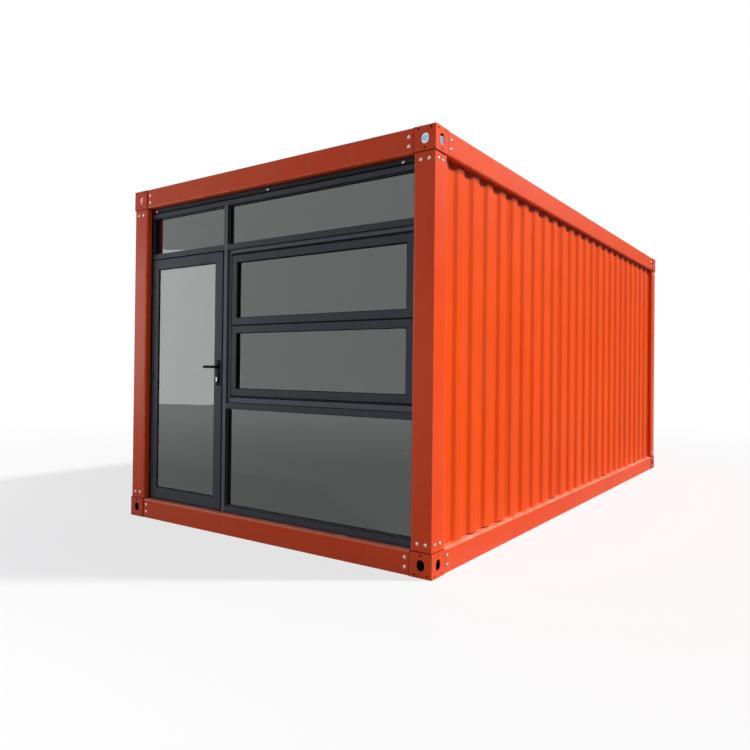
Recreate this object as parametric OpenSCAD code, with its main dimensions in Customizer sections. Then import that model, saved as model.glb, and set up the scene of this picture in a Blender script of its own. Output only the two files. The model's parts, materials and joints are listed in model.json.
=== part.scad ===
// Flat-pack container room with a glazed end.
// +Z is up, the glazed front faces -Y, and the origin is at the middle of the base.

/* [Overall] */
// Outside length, front to back
length = 6000; // [4800:100:7500]
// Outside width
width = 3000; // [2500:50:3700]
// Outside height
height = 2800; // [2350:50:3400]

/* [Steel frame] */
// Width of a corner fitting, from which the posts and beams take theirs
post_w = 160; // [130:5:200]
// How far the posts and beams stand back from the corner fittings' faces
frame_inset = 6; // [0:1:12]
// Height of the roof and floor beams and of the corner fittings
beam_h = 157; // [130:1:195]
// Wall thickness of the rolled posts and beams
frame_wall = 3; // [2:0.5:6]
// Radius of the rolled lip on posts and beams
lip_r = 14; // [8:1:20]

/* [Corner fittings] */
// Plate thickness of a corner fitting
fitting_wall = 6; // [4:1:10]
// Width of a lifting hole
lift_hole_w = 56; // [40:1:68]
// Height of a lifting hole
lift_hole_h = 70; // [60:1:90]
// Diameter of the small drain and bolt holes
small_hole_d = 13; // [6:1:14]
// Distance of the two outer small holes from the middle of the plate
small_hole_side = 46; // [38:1:55]
// Distance of a small hole from the plate's edge
small_hole_edge = 18; // [12:1:22]
// Diameter of the plastic cap behind a lifting hole
cap_d = 66; // [58:1:84]
// Thickness of a cap
cap_t = 4; // [2:1:8]
// How far the caps on the long sides have slipped down
cap_slip = 12; // [0:1:16]

/* [Ribbed sheet] */
// Nearest spacing of the ribs, rounded to a whole number between the posts
rib_pitch = 225; // [200:5:280]
// Width of a rib's flat crest
rib_crest = 84; // [60:1:90]
// Width of a rib's slope
rib_flank = 37; // [20:1:45]
// Depth of the ribs
rib_depth = 20; // [12:1:28]
// Width that shows of the first crest, beside the post
rib_start = 73; // [30:1:80]
// Thickness of the sheet
sheet_t = 2; // [1:0.5:3]
// How far the crests stand back from the corner fittings' faces
clad_recess = 40; // [20:1:55]

/* [Floor and roof] */
// Thickness of the floor board
floor_t = 22; // [16:1:30]
// Height of a floor joist
joist_h = 100; // [70:5:110]
// Number of floor joists
joist_count = 12; // [8:1:16]
// Thickness of the ceiling panel
ceiling_t = 20; // [12:1:25]
// Height of a roof purlin
purlin_h = 80; // [50:5:90]
// Number of roof purlins
purlin_count = 8; // [5:1:12]
// Width of a joist or purlin
bearer_w = 50; // [40:5:80]
// Wall thickness of a joist or purlin
bearer_wall = 2; // [1.5:0.5:4]

/* [Window wall] */
// How far the window wall stands back from the front face
setback = 60; // [30:1:75]
// Depth of the window wall's bars
bar_depth = 80; // [60:1:84]
// Width of the jamb that carries the door
hinge_jamb_w = 12; // [12:1:30]
// Width of the jamb beside the windows
window_jamb_w = 28; // [20:1:40]
// Height of the trim strip under the roof beam
trim_h = 33; // [20:1:45]
// Height of the groove under the trim strip
groove_h = 15; // [8:1:20]
// Depth of that groove
groove_depth = 20; // [10:1:40]
// Height of the head bar
head_h = 36; // [25:1:50]
// Height of the sill bar
sill_h = 51; // [35:1:70]
// Width of the mullion
mullion_w = 40; // [30:1:60]
// Height of a transom bar
transom_h = 42; // [30:1:60]
// Width between the hinge post and the mullion
door_bay_w = 905; // [800:5:1100]
// Height of the top lights
top_light_h = 309; // [200:1:450]
// Height of the fixed light at the bottom
low_light_h = 760; // [500:5:1000]
// How far the fixed panes stand back from the bars' faces
pane_recess = 33; // [30:1:70]
// Thickness of the glass
glass_t = 6; // [4:1:10]

/* [Opening sashes] */
// How far the sashes and their surround stand back from the bars' faces
sash_recess = 19; // [5:1:24]
// Width of the surround beside the mullion
surround_side = 28; // [15:1:40]
// Height of the surround above the sashes
surround_top = 31; // [15:1:45]
// Height of the surround below the sashes
surround_low = 41; // [15:1:60]
// Lap of the surround behind the sashes
surround_lap = 12; // [6:1:25]
// Width of a sash member
sash_w = 56; // [35:1:75]
// Thickness of a sash
sash_t = 40; // [30:1:48]
// Gap beside a sash and between the two
sash_gap = 4; // [2:1:8]
// Gap above the upper sash and below the lower one
sash_end_gap = 14; // [4:1:20]
// How far a sash's pane stands back from its face
sash_pane_recess = 22; // [8:1:30]

/* [Door] */
// Gap between the leaf and the hinge jamb
leaf_hinge_gap = 8; // [5:1:12]
// Gap between the leaf and the mullion
leaf_lock_gap = 12; // [8:1:16]
// Gap above the leaf
leaf_top_gap = 9; // [5:1:15]
// Gap below the leaf
leaf_low_gap = 5; // [5:1:12]
// Height of the threshold strip
threshold_h = 8; // [5:1:20]
// Thickness of the leaf
leaf_t = 50; // [40:1:52]
// Width of the stiles and of the top rail
stile_w = 80; // [60:1:110]
// Height of the bottom rail
low_rail_h = 88; // [70:1:180]
// How far the door's pane stands back from the leaf's face
leaf_pane_recess = 9; // [4:1:20]
// Width of the stop that the closed leaf meets
stop_w = 14; // [10:1:20]
// Gap between the closed leaf and its stop
stop_gap = 6; // [5:1:7]

/* [Door furniture] */
// Height of the lever's spindle above the floor
lever_height = 1133; // [900:1:1200]
// Distance of the spindle from the leaf's closing edge
lever_inset = 33; // [28:1:45]
// Width of a lock plate
plate_w = 32; // [26:1:50]
// Height of a lock plate
plate_h = 200; // [170:1:240]
// Thickness of a lock plate
plate_t = 8; // [3:1:12]
// Height of a lock plate above the spindle
plate_above = 54; // [30:1:90]
// Distance of the key cylinder below the spindle
cylinder_drop = 90; // [70:1:100]
// Diameter of the key cylinder
cylinder_d = 17; // [12:1:20]
// How far the key cylinder stands out of the plate
cylinder_out = 9; // [2:1:15]
// Length of a lever from its spindle
lever_l = 136; // [100:1:150]
// Height of a lever's arm
lever_arm_h = 22; // [12:1:24]
// Thickness of a lever's arm
lever_arm_t = 12; // [8:1:16]
// Distance of a lever's arm from the plate
lever_out = 27; // [20:1:27]
// Diameter of the spindle
spindle_d = 16; // [10:1:18]
// Clearance all round the spindle
spindle_clear = 0.1; // [0.05:0.05:0.3]
// Number of hinges
hinge_count = 3; // [2:1:4]
// Height of a hinge
hinge_h = 100; // [70:1:140]
// Diameter of a hinge's barrel
barrel_d = 14; // [12:1:15]
// Diameter of a hinge's pin
pin_d = 7; // [5:0.5:8]
// Clearance all round a hinge's pin
pin_clear = 0.1; // [0.05:0.05:0.3]
// Gap between a barrel and the frame behind it, and between the two knuckles
barrel_gap = 1; // [0.5:0.5:2]
// Thickness of a hinge's plates
hinge_plate_t = 3; // [2:0.5:4]
// Length of the hinge plate on the leaf
hinge_plate_l = 34; // [25:1:50]
// Distance of the outer hinges from the leaf's ends
hinge_end = 200; // [150:10:300]

/* [Hidden] */
$fn = 48;

cut = 1; // overrun of a cut past the face that it opens

// Inside of the steel frame
bay_x = width / 2 - post_w;
bay_y = length / 2 - post_w;
bay_h = height - 2 * beam_h;
eaves = height - beam_h;
steel_w = post_w - frame_inset; // width of a post and depth of a beam

// Steel frame joint lines and cladding planes
crest_x = width / 2 - clad_recess;
crest_y = length / 2 - clad_recess;
panel_t = post_w - clad_recess - rib_depth - sheet_t;

// Heights in the floor and roof
joist_z = beam_h - floor_t - joist_h;
purlin_z = eaves + ceiling_t;
roof_crest_z = purlin_z + purlin_h + sheet_t + rib_depth;

// Window wall planes, counted in +Y from the front
face_y = setback - length / 2;
back_y = face_y + bar_depth;
pane_y = face_y + pane_recess;
sash_y = face_y + sash_recess;

// Window wall bars, left to right and bottom to top
jamb_x0 = hinge_jamb_w - bay_x;
mullion_x0 = door_bay_w - bay_x;
mullion_x1 = mullion_x0 + mullion_w;
jamb_x1 = bay_x - window_jamb_w;
trim_z = eaves - trim_h;
head_z = trim_z - groove_h - head_h;
upper_z1 = head_z - top_light_h;
upper_z0 = upper_z1 - transom_h;
sill_z = beam_h + sill_h;
lower_z0 = sill_z + low_light_h;
lower_z1 = lower_z0 + transom_h;

// Opening sashes
sash_x0 = mullion_x1 + surround_side + sash_gap;
sash_x1 = jamb_x1 - sash_gap;
sash_z0 = lower_z1 + surround_low + sash_end_gap;
sash_z1 = upper_z0 - surround_top - sash_end_gap;
sash_h = (sash_z1 - sash_z0 - sash_gap) / 2;
upper_sash_z = sash_z1 - sash_h;
sash_back_y = sash_y + sash_t;

// Door leaf
leaf_x0 = jamb_x0 + leaf_hinge_gap;
leaf_x1 = mullion_x0 - leaf_lock_gap;
leaf_z0 = beam_h + threshold_h + leaf_low_gap;
leaf_z1 = upper_z0 - leaf_top_gap;
leaf_back_y = face_y + leaf_t;
stop_y = leaf_back_y + stop_gap;

// Hinges, with their axis in front of the gap beside the leaf
hinge_x = (jamb_x0 + leaf_x0) / 2;
barrel_r = barrel_d / 2;
hinge_y = face_y - barrel_r - barrel_gap;
hinge_step = (leaf_z1 - leaf_z0 - 2 * hinge_end - hinge_h) / (hinge_count - 1);
knuckle_h = (hinge_h - barrel_gap) / 2;
hinge_plate_y = barrel_r + barrel_gap; // back of a hinge plate, counted from the axis

// Lever and lock
lever_x = leaf_x1 - lever_inset;
lever_z = beam_h + lever_height;
plate_z = lever_z + plate_above - plate_h;
neck_d = spindle_d + 4;
arm_y = face_y - plate_t - lever_out - lever_arm_t;
arm_tip_x = lever_arm_h / 2 - lever_l; // centre of the arm's round end, counted from the spindle

// ---- Shared shapes ----

// A block from its low corner to its high corner
module block(low, high) {
    translate(low) cube(high - low);
}

// What is cut off a square corner to round it
module corner_waste(r) {
    difference() {
        translate([-cut, -cut]) square([r + cut, r + cut]);
        translate([r, r]) circle(r);
    }
}

// Section of a roof beam: outer face on X = 0, rolled lip at the foot of that face
module beam_outline(w, h, r) {
    difference() {
        translate([-w, 0]) square([w, h]);
        mirror([1, 0]) corner_waste(r);
    }
}

module beam_section() {
    difference() {
        beam_outline(steel_w, beam_h, lip_r);
        translate([-frame_wall, frame_wall])
            beam_outline(steel_w - 2 * frame_wall, beam_h - 2 * frame_wall, lip_r - frame_wall);
    }
}

// Section of the front right post: outer corner at the origin, lips on the two inner edges
module post_outline(w, r) {
    difference() {
        translate([-w, 0]) square([w, w]);
        translate([-w, 0]) corner_waste(r);
        translate([0, w]) rotate(180) corner_waste(r);
    }
}

module post_section() {
    difference() {
        post_outline(steel_w, lip_r);
        translate([-frame_wall, frame_wall])
            post_outline(steel_w - 2 * frame_wall, lip_r - frame_wall);
    }
}

// A long roof beam on the right, and a short one at the front
module long_beam() {
    translate([bay_x + steel_w, bay_y, eaves]) rotate([90, 0, 0])
        linear_extrude(2 * bay_y) beam_section();
}

module short_beam() {
    translate([bay_x, -bay_y - steel_w, eaves]) rotate([90, 0, -90])
        linear_extrude(2 * bay_x) beam_section();
}

// A floor beam is the roof beam turned over
module at_floor() {
    translate([0, 0, height]) mirror([0, 0, 1]) children();
}

module post() {
    translate([bay_x + steel_w, -bay_y - steel_w, beam_h]) linear_extrude(bay_h) post_section();
}

// The four corners, from what stands at the front right one
module each_corner() {
    for (side = [0, 1], end = [0, 1])
        mirror([side, 0, 0]) mirror([0, end, 0])
            translate([width / 2, -length / 2, 0]) children();
}

// Lifting hole outline, upright, round at both ends
module lift_hole() {
    reach = (lift_hole_h - lift_hole_w) / 2;
    for (end = [-1, 1])
        translate([0, end * reach]) circle(d = lift_hole_w);
    square([lift_hole_w, 2 * reach], center = true);
}

// All the holes of one upright plate, centred on the plate, outer edge up
module plate_holes() {
    small_z = beam_h / 2 - small_hole_edge;
    lift_hole();
    translate([0, -small_z]) circle(d = small_hole_d);
    for (side = [-1, 1])
        translate([side * small_hole_side, small_z]) circle(d = small_hole_d);
}

// Roof corner fitting at the front right: outer corner of its foot at the origin
module fitting(top_hole) {
    depth = fitting_wall + 2 * cut;
    difference() {
        block([-post_w, 0, 0], [0, post_w, beam_h]);
        block([fitting_wall - post_w, fitting_wall, fitting_wall],
              [-fitting_wall, post_w - fitting_wall, beam_h - fitting_wall]);
        translate([-post_w / 2, fitting_wall + cut, beam_h / 2]) rotate([90, 0, 0])
            linear_extrude(depth) plate_holes();
        translate([-fitting_wall - cut, post_w / 2, beam_h / 2]) rotate([90, 0, 90])
            linear_extrude(depth) plate_holes();
        if (top_hole)
            translate([-post_w / 2, post_w / 2, beam_h - fitting_wall - cut])
                linear_extrude(depth) lift_hole();
    }
}

// Line across the ribs as [along, out] points, crests at 0 and troughs at -rib_depth
function rib_line(span) =
    let (
        count = round(span / rib_pitch),
        pitch = span / count,
        first = rib_start - rib_crest
    )
    concat(
        [[0, 0]],
        [for (k = [0 : count - 1], point = [
            [rib_crest, 0],
            [rib_crest + rib_flank, -rib_depth],
            [pitch - rib_flank, -rib_depth],
            [pitch, 0]
        ]) [first + k * pitch + point[0], point[1]]],
        [[span, 0]]
    );

// Section of a ribbed sheet across its whole span
module ribbed_section(span) {
    line = rib_line(span);
    last = len(line) - 1;
    polygon(concat(line, [for (i = [0 : last]) line[last - i] - [0, sheet_t]]));
}

// Ribbed sheet on the right wall
module side_sheet() {
    translate([crest_x, -bay_y, beam_h]) rotate([0, 0, 90]) mirror([0, 1, 0])
        linear_extrude(bay_h) ribbed_section(2 * bay_y);
}

module side_panel() {
    block([bay_x, -bay_y, beam_h], [bay_x + panel_t, bay_y, eaves]);
}

// Square tubes that lie across the bay, evenly spaced
module bearers(count, z, h) {
    step = (2 * bay_y - bearer_w) / (count - 1);
    for (k = [0 : count - 1])
        translate([0, k * step - bay_y, z])
            difference() {
                block([-bay_x, 0, 0], [bay_x, bearer_w, h]);
                block([-bay_x - cut, bearer_wall, bearer_wall],
                      [bay_x + cut, bearer_w - bearer_wall, h - bearer_wall]);
            }
}

// Window wall bar between two corners in the plane of the wall
module bar(x0, z0, x1, z1) {
    block([x0, face_y, z0], [x1, back_y, z1]);
}

// Pane that fills an opening, with its face on the plane Y = y
module pane(x0, z0, x1, z1, y) {
    block([x0, y, z0], [x1, y + glass_t, z1]);
}

module sash(z) {
    difference() {
        block([sash_x0, sash_y, z], [sash_x1, sash_back_y, z + sash_h]);
        block([sash_x0 + sash_w, sash_y - cut, z + sash_w],
              [sash_x1 - sash_w, sash_back_y + cut, z + sash_h - sash_w]);
    }
}

// Every hinge's foot
module each_hinge() {
    for (k = [0 : hinge_count - 1])
        translate([hinge_x, hinge_y, leaf_z0 + hinge_end + k * hinge_step]) children();
}

// Lever, lock and plate shapes are drawn for the outside of the leaf
module on_both_faces() {
    children();
    translate([0, face_y + leaf_back_y, 0]) mirror([0, 1, 0]) children();
}

module plate_outline() {
    r = plate_w / 4;
    translate([-plate_w / 2 + r, 0]) square([plate_w - 2 * r, plate_h]);
    translate([-plate_w / 2, r]) square([plate_w, plate_h - 2 * r]);
    for (side = [-1, 1], end = [r, plate_h - r])
        translate([side * (plate_w / 2 - r), end]) circle(r);
}

module lever_arm() {
    translate([lever_x, face_y - plate_t, lever_z]) rotate([90, 0, 0])
        cylinder(d = neck_d, h = lever_out + lever_arm_t);
    translate([lever_x, arm_y, lever_z]) {
        block([arm_tip_x, 0, -lever_arm_h / 2], [0, lever_arm_t, lever_arm_h / 2]);
        translate([arm_tip_x, lever_arm_t, 0]) rotate([90, 0, 0])
            cylinder(d = lever_arm_h, h = lever_arm_t);
    }
}

// ---- Colours ----

frame_colour = [0.86, 0.25, 0.13];
sheet_colour = [0.95, 0.35, 0.17];
panel_colour = [0.9, 0.9, 0.88];
bar_colour = [0.24, 0.25, 0.28];
glass_colour = [0.6, 0.68, 0.68, 0.5];
handle_colour = [0.08, 0.08, 0.09];

// ---- Steel frame ----

module front_right_post() color(frame_colour) post();
module front_left_post() color(frame_colour) mirror([1, 0, 0]) post();
module rear_right_post() color(frame_colour) mirror([0, 1, 0]) post();
module rear_left_post() color(frame_colour) mirror([1, 0, 0]) mirror([0, 1, 0]) post();

module right_roof_beam() color(frame_colour) long_beam();
module left_roof_beam() color(frame_colour) mirror([1, 0, 0]) long_beam();
module front_roof_beam() color(frame_colour) short_beam();
module rear_roof_beam() color(frame_colour) mirror([0, 1, 0]) short_beam();

module right_floor_beam() color(frame_colour) at_floor() long_beam();
module left_floor_beam() color(frame_colour) at_floor() mirror([1, 0, 0]) long_beam();
module front_floor_beam() color(frame_colour) at_floor() short_beam();
module rear_floor_beam() color(frame_colour) at_floor() mirror([0, 1, 0]) short_beam();

module top_corner_fittings() color(frame_colour)
    each_corner() translate([0, 0, eaves]) fitting(true);

module bottom_corner_fittings() color(frame_colour)
    at_floor() each_corner() translate([0, 0, eaves]) fitting(false);

// Round caps that close the roof fittings' lifting holes from inside
module fitting_caps() color([0.7, 0.75, 0.85])
    each_corner() {
        translate([-post_w / 2, fitting_wall + cap_t, eaves + beam_h / 2])
            rotate([90, 0, 0]) cylinder(d = cap_d, h = cap_t);
        translate([-fitting_wall - cap_t, post_w / 2, eaves + beam_h / 2 - cap_slip])
            rotate([0, 90, 0]) cylinder(d = cap_d, h = cap_t);
    }

// ---- Walls, floor and roof ----

module right_cladding() color(sheet_colour) side_sheet();
module left_cladding() color(sheet_colour) mirror([1, 0, 0]) side_sheet();

module rear_cladding() color(sheet_colour)
    translate([-bay_x, crest_y, beam_h]) linear_extrude(bay_h) ribbed_section(2 * bay_x);

module right_wall_panel() color(panel_colour) side_panel();
module left_wall_panel() color(panel_colour) mirror([1, 0, 0]) side_panel();

module rear_wall_panel() color(panel_colour)
    block([-bay_x, bay_y, beam_h], [bay_x, bay_y + panel_t, eaves]);

module roof_sheet() color(sheet_colour)
    translate([-bay_x, bay_y, roof_crest_z]) rotate([90, 0, 0])
        linear_extrude(2 * bay_y) ribbed_section(2 * bay_x);

module roof_purlins() color("silver") bearers(purlin_count, purlin_z, purlin_h);

module ceiling_panel() color([0.92, 0.92, 0.9])
    block([-bay_x, -bay_y, eaves], [bay_x, bay_y, purlin_z]);

module floor_board() color([0.55, 0.5, 0.45])
    block([-bay_x, -bay_y, beam_h - floor_t], [bay_x, bay_y, beam_h]);

module floor_joists() color("silver") bearers(joist_count, joist_z, joist_h);

// ---- Window wall ----

// Trim strip under the roof beam, with the back of the groove below it
module head_trim() color(bar_colour) {
    bar(-bay_x, trim_z, bay_x, eaves);
    block([-bay_x, face_y + groove_depth, trim_z - groove_h], [bay_x, back_y, trim_z]);
}

module frame_head() color(bar_colour) bar(-bay_x, head_z, bay_x, head_z + head_h);

// Sill bar under the fixed light, and the low strip under the door
module frame_sill() color(bar_colour) {
    bar(mullion_x1, beam_h, jamb_x1, sill_z);
    bar(jamb_x0, beam_h, mullion_x0, beam_h + threshold_h);
}

// Jambs, and on the door's one the stop that the leaf meets
module frame_jambs() color(bar_colour) {
    bar(-bay_x, beam_h, jamb_x0, head_z);
    block([-bay_x, stop_y, beam_h + threshold_h], [jamb_x0 + stop_w, back_y, upper_z0]);
    bar(jamb_x1, beam_h, bay_x, head_z);
}

module mullion() color(bar_colour) {
    bar(mullion_x0, beam_h, mullion_x1, head_z);
    block([mullion_x0 - stop_w - leaf_lock_gap / 2, stop_y, beam_h + threshold_h],
          [mullion_x1, back_y, upper_z0]);
}

module transom_bars() color(bar_colour) {
    bar(jamb_x0, upper_z0, mullion_x0, upper_z1);
    bar(mullion_x1, upper_z0, jamb_x1, upper_z1);
    bar(mullion_x1, lower_z0, jamb_x1, lower_z1);
}

module top_light_glass() color(glass_colour) {
    pane(jamb_x0, upper_z1, mullion_x0, head_z, pane_y);
    pane(mullion_x1, upper_z1, jamb_x1, head_z, pane_y);
}

module fixed_light_glass() color(glass_colour)
    pane(mullion_x1, sill_z, jamb_x1, lower_z0, pane_y);

// Surround of the two sashes, with a lap behind them and a rail behind their meeting
module sash_surround() color(bar_colour)
    difference() {
        block([mullion_x1, sash_y, lower_z1], [jamb_x1, back_y, upper_z0]);
        block([sash_x0 - sash_gap, sash_y - cut, sash_z0 - sash_end_gap],
              [jamb_x1 + cut, sash_back_y, sash_z1 + sash_end_gap]);
        for (z = [sash_z0, upper_sash_z])
            block([sash_x0 + surround_lap, sash_y, z + surround_lap],
                  [sash_x1 - surround_lap, back_y + cut, z + sash_h - surround_lap]);
    }

module upper_sash() color(bar_colour) sash(upper_sash_z);
module lower_sash() color(bar_colour) sash(sash_z0);

module sash_glass() color(glass_colour)
    for (z = [sash_z0, upper_sash_z])
        pane(sash_x0 + sash_w, z + sash_w, sash_x1 - sash_w, z + sash_h - sash_w,
             sash_y + sash_pane_recess);

// ---- Door ----

module door_leaf() color(bar_colour)
    difference() {
        block([leaf_x0, face_y, leaf_z0], [leaf_x1, leaf_back_y, leaf_z1]);
        block([leaf_x0 + stile_w, face_y - cut, leaf_z0 + low_rail_h],
              [leaf_x1 - stile_w, leaf_back_y + cut, leaf_z1 - stile_w]);
        translate([lever_x, leaf_back_y + cut, lever_z]) rotate([90, 0, 0])
            cylinder(r = spindle_d / 2 + spindle_clear, h = leaf_t + 2 * cut);
    }

module door_glass() color(glass_colour)
    pane(leaf_x0 + stile_w, leaf_z0 + low_rail_h, leaf_x1 - stile_w, leaf_z1 - stile_w,
         face_y + leaf_pane_recess);

// Lower knuckle, pin and plate of each hinge, on the jamb
module jamb_hinges() color(bar_colour)
    each_hinge() {
        cylinder(d = barrel_d, h = knuckle_h);
        cylinder(d = pin_d, h = hinge_h);
        block([-bay_x - hinge_x, hinge_plate_y - hinge_plate_t, 0], [0, hinge_plate_y, knuckle_h]);
    }

// Upper knuckle and plate of each hinge, on the leaf
module leaf_hinges() color(bar_colour)
    each_hinge() translate([0, 0, knuckle_h + barrel_gap])
        difference() {
            union() {
                cylinder(d = barrel_d, h = knuckle_h);
                block([0, hinge_plate_y - hinge_plate_t, 0],
                      [hinge_plate_l, hinge_plate_y, knuckle_h]);
            }
            translate([0, 0, -cut]) cylinder(r = pin_d / 2 + pin_clear, h = knuckle_h + 2 * cut);
        }

module lock_plates() color(handle_colour)
    on_both_faces()
        difference() {
            translate([lever_x, face_y, plate_z]) rotate([90, 0, 0])
                linear_extrude(plate_t) plate_outline();
            translate([lever_x, face_y + cut, lever_z]) rotate([90, 0, 0])
                cylinder(r = spindle_d / 2 + spindle_clear, h = plate_t + 2 * cut);
        }

module lock_cylinder() color("silver")
    on_both_faces()
        translate([lever_x, face_y - plate_t, lever_z - cylinder_drop]) rotate([90, 0, 0])
            cylinder(d = cylinder_d, h = cylinder_out);

// Both levers and the spindle that joins them through the leaf
module lever_handles() color(handle_colour) {
    on_both_faces() lever_arm();
    translate([lever_x, leaf_back_y + plate_t, lever_z]) rotate([90, 0, 0])
        cylinder(d = spindle_d, h = leaf_t + 2 * plate_t);
}

front_left_post();
front_right_post();
rear_left_post();
rear_right_post();
front_roof_beam();
rear_roof_beam();
left_roof_beam();
right_roof_beam();
front_floor_beam();
rear_floor_beam();
left_floor_beam();
right_floor_beam();
top_corner_fittings();
bottom_corner_fittings();
fitting_caps();
left_cladding();
right_cladding();
rear_cladding();
left_wall_panel();
right_wall_panel();
rear_wall_panel();
roof_sheet();
roof_purlins();
ceiling_panel();
floor_board();
floor_joists();
head_trim();
frame_head();
frame_sill();
frame_jambs();
mullion();
transom_bars();
top_light_glass();
fixed_light_glass();
sash_surround();
upper_sash();
lower_sash();
sash_glass();
jamb_hinges();
door_leaf();
door_glass();
leaf_hinges();
lock_plates();
lock_cylinder();
lever_handles();
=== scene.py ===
# %% [markdown]
# # A container room with a glazed end
# The steel frame, ribbed walls, window wall and door of a flat-pack room are already
# built at their real size. This lesson dresses them: folded sheet, bolts, gaskets,
# handles and finishes. The construction model is loaded first, because every new
# piece takes its place from it.

# %% Load the construction model
import json
import math
import random

import bmesh
import bpy
from mathutils import Matrix, Vector

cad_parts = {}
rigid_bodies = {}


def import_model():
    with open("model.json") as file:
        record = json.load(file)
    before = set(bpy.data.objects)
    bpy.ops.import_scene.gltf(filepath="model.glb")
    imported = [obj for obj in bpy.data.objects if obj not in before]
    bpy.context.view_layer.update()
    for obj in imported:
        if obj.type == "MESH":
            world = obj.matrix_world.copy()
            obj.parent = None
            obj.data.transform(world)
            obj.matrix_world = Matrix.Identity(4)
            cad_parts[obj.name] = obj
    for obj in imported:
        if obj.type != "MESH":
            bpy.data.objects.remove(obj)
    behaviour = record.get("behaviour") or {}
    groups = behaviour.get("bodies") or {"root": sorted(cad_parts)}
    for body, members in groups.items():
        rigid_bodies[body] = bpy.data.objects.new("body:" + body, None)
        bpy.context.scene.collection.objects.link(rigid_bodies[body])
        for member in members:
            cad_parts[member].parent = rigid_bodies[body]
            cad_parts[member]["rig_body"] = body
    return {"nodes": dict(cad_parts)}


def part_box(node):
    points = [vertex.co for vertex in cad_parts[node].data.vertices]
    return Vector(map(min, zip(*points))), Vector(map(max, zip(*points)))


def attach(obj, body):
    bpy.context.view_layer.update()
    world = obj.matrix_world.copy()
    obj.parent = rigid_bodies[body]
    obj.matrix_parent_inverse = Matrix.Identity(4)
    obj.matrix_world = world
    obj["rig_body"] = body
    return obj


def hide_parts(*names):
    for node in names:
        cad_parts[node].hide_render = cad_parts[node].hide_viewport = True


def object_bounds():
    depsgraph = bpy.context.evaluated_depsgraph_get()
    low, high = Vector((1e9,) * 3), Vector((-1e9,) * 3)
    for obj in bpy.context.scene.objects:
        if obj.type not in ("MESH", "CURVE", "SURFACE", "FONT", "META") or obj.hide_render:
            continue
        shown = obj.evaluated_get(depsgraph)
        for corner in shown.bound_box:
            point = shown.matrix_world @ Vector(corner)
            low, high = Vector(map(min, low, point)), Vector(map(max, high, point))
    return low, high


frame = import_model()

CAD_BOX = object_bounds()
HALF_W, HALF_L, TOP = CAD_BOX[1]
print("room, metres:", [round(2 * HALF_W, 3), round(2 * HALF_L, 3), round(TOP, 3)])

# %% [markdown]
# Posts, beams and fittings share a few joint lines. Reading them once keeps bolts,
# sheets and seals on the steel if the room's size ever changes.

# %% Joint lines of the steel frame
POST_LOW, POST_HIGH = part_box("front_right_post")
BAY_X, BAY_Y = POST_LOW.x, -POST_HIGH.y
FLOOR, EAVES = POST_LOW.z, POST_HIGH.z
STEEL_X, STEEL_Y = POST_HIGH.x, -POST_LOW.y
print("clear bay:", [round(2 * BAY_X, 3), round(2 * BAY_Y, 3), round(EAVES - FLOOR, 3)])

# %% [markdown]
# ## Small tools for meshes
# A cut or rolled edge on real steel is never knife sharp. Each edge gets a narrow
# bevel that catches the light, and the bevel's faces are marked in an attribute named
# edge, so that a finish can wear thin exactly there and lighten there as painted
# highlight.

# %% Start, bevel and place a mesh
EDGE = "edge"
MERGE = 1e-5
CREASE, SHADE_SHARP = math.radians(32), math.radians(50)


def start():
    """An empty bmesh that can mark its bevelled faces."""
    bm = bmesh.new()
    bm.faces.layers.float.new(EDGE)
    return bm


def bevel(bm, edges, width, segments=2):
    """Rounds these edges and marks the new faces."""
    made = bmesh.ops.bevel(
        bm, geom=list(edges), offset=width, offset_type="OFFSET", affect="EDGES",
        segments=segments, profile=0.5, material=-1, clamp_overlap=True)
    layer = bm.faces.layers.float[EDGE]
    for face in made["faces"]:
        face[layer] = 1.0


def sharp_edges(bm):
    """Outside corners of a closed mesh."""
    return [e for e in bm.edges
            if e.is_manifold and e.is_convex and e.calc_face_angle() > CREASE]


def block(bm, low, high, width=0.0, segments=2):
    """A box between two corners, with its edges rounded by width."""
    low, high = Vector(low), Vector(high)
    place = Matrix.Translation((low + high) / 2) @ Matrix.Diagonal((*(high - low), 1))
    verts = bmesh.ops.create_cube(bm, size=1, matrix=place)["verts"]
    if width:
        bevel(bm, {e for v in verts for e in v.link_edges}, width, segments)


def add_object(name, data, at=None, turned=None):
    """Puts data in the scene as an object. Lamps and cameras also get a place and a turn."""
    made = bpy.data.objects.new(name, data)
    bpy.context.scene.collection.objects.link(made)
    if turned is not None:
        made.rotation_mode = "QUATERNION"
        made.rotation_quaternion = turned
    if at is not None:
        made.location = at
    return made


def piece(name, bm, materials, replaced=(), body="cabin"):
    """Turns a bmesh into a finished object that rides on a body of the model."""
    mesh = bpy.data.meshes.new(name)
    bm.to_mesh(mesh)
    bm.free()
    for material in materials:
        mesh.materials.append(material)
    made = add_object(name, mesh)
    mesh.polygons.foreach_set("use_smooth", [True] * len(mesh.polygons))
    mesh.set_sharp_from_angle(angle=SHADE_SHARP)
    made.modifiers.new("flat_faces", "WEIGHTED_NORMAL").keep_sharp = True
    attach(made, body)
    if replaced:
        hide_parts(*replaced)
    return made


# %% [markdown]
# Turned parts such as bolt heads and hinge knuckles are one outline spun about an
# axis. A part that is used many times is built once and stamped into one joined mesh,
# which stays light and moves as one.

# %% Turn and stamp
def open_line(points):
    """A bmesh that holds one open line through these points."""
    bm = start()
    verts = [bm.verts.new(point) for point in points]
    for pair in zip(verts, verts[1:]):
        bm.edges.new(pair)
    return bm


def lathe(outline, steps=24):
    """A turned part about Z, from (radius, height) points that start and end on Z."""
    bm = open_line((radius, 0, height) for radius, height in outline)
    bmesh.ops.spin(bm, geom=bm.verts[:] + bm.edges[:], cent=(0, 0, 0), axis=(0, 0, 1),
                   angle=math.tau, steps=steps, use_merge=True)
    bmesh.ops.remove_doubles(bm, verts=bm.verts, dist=MERGE)
    bmesh.ops.recalc_face_normals(bm, faces=bm.faces)
    return bm


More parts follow.
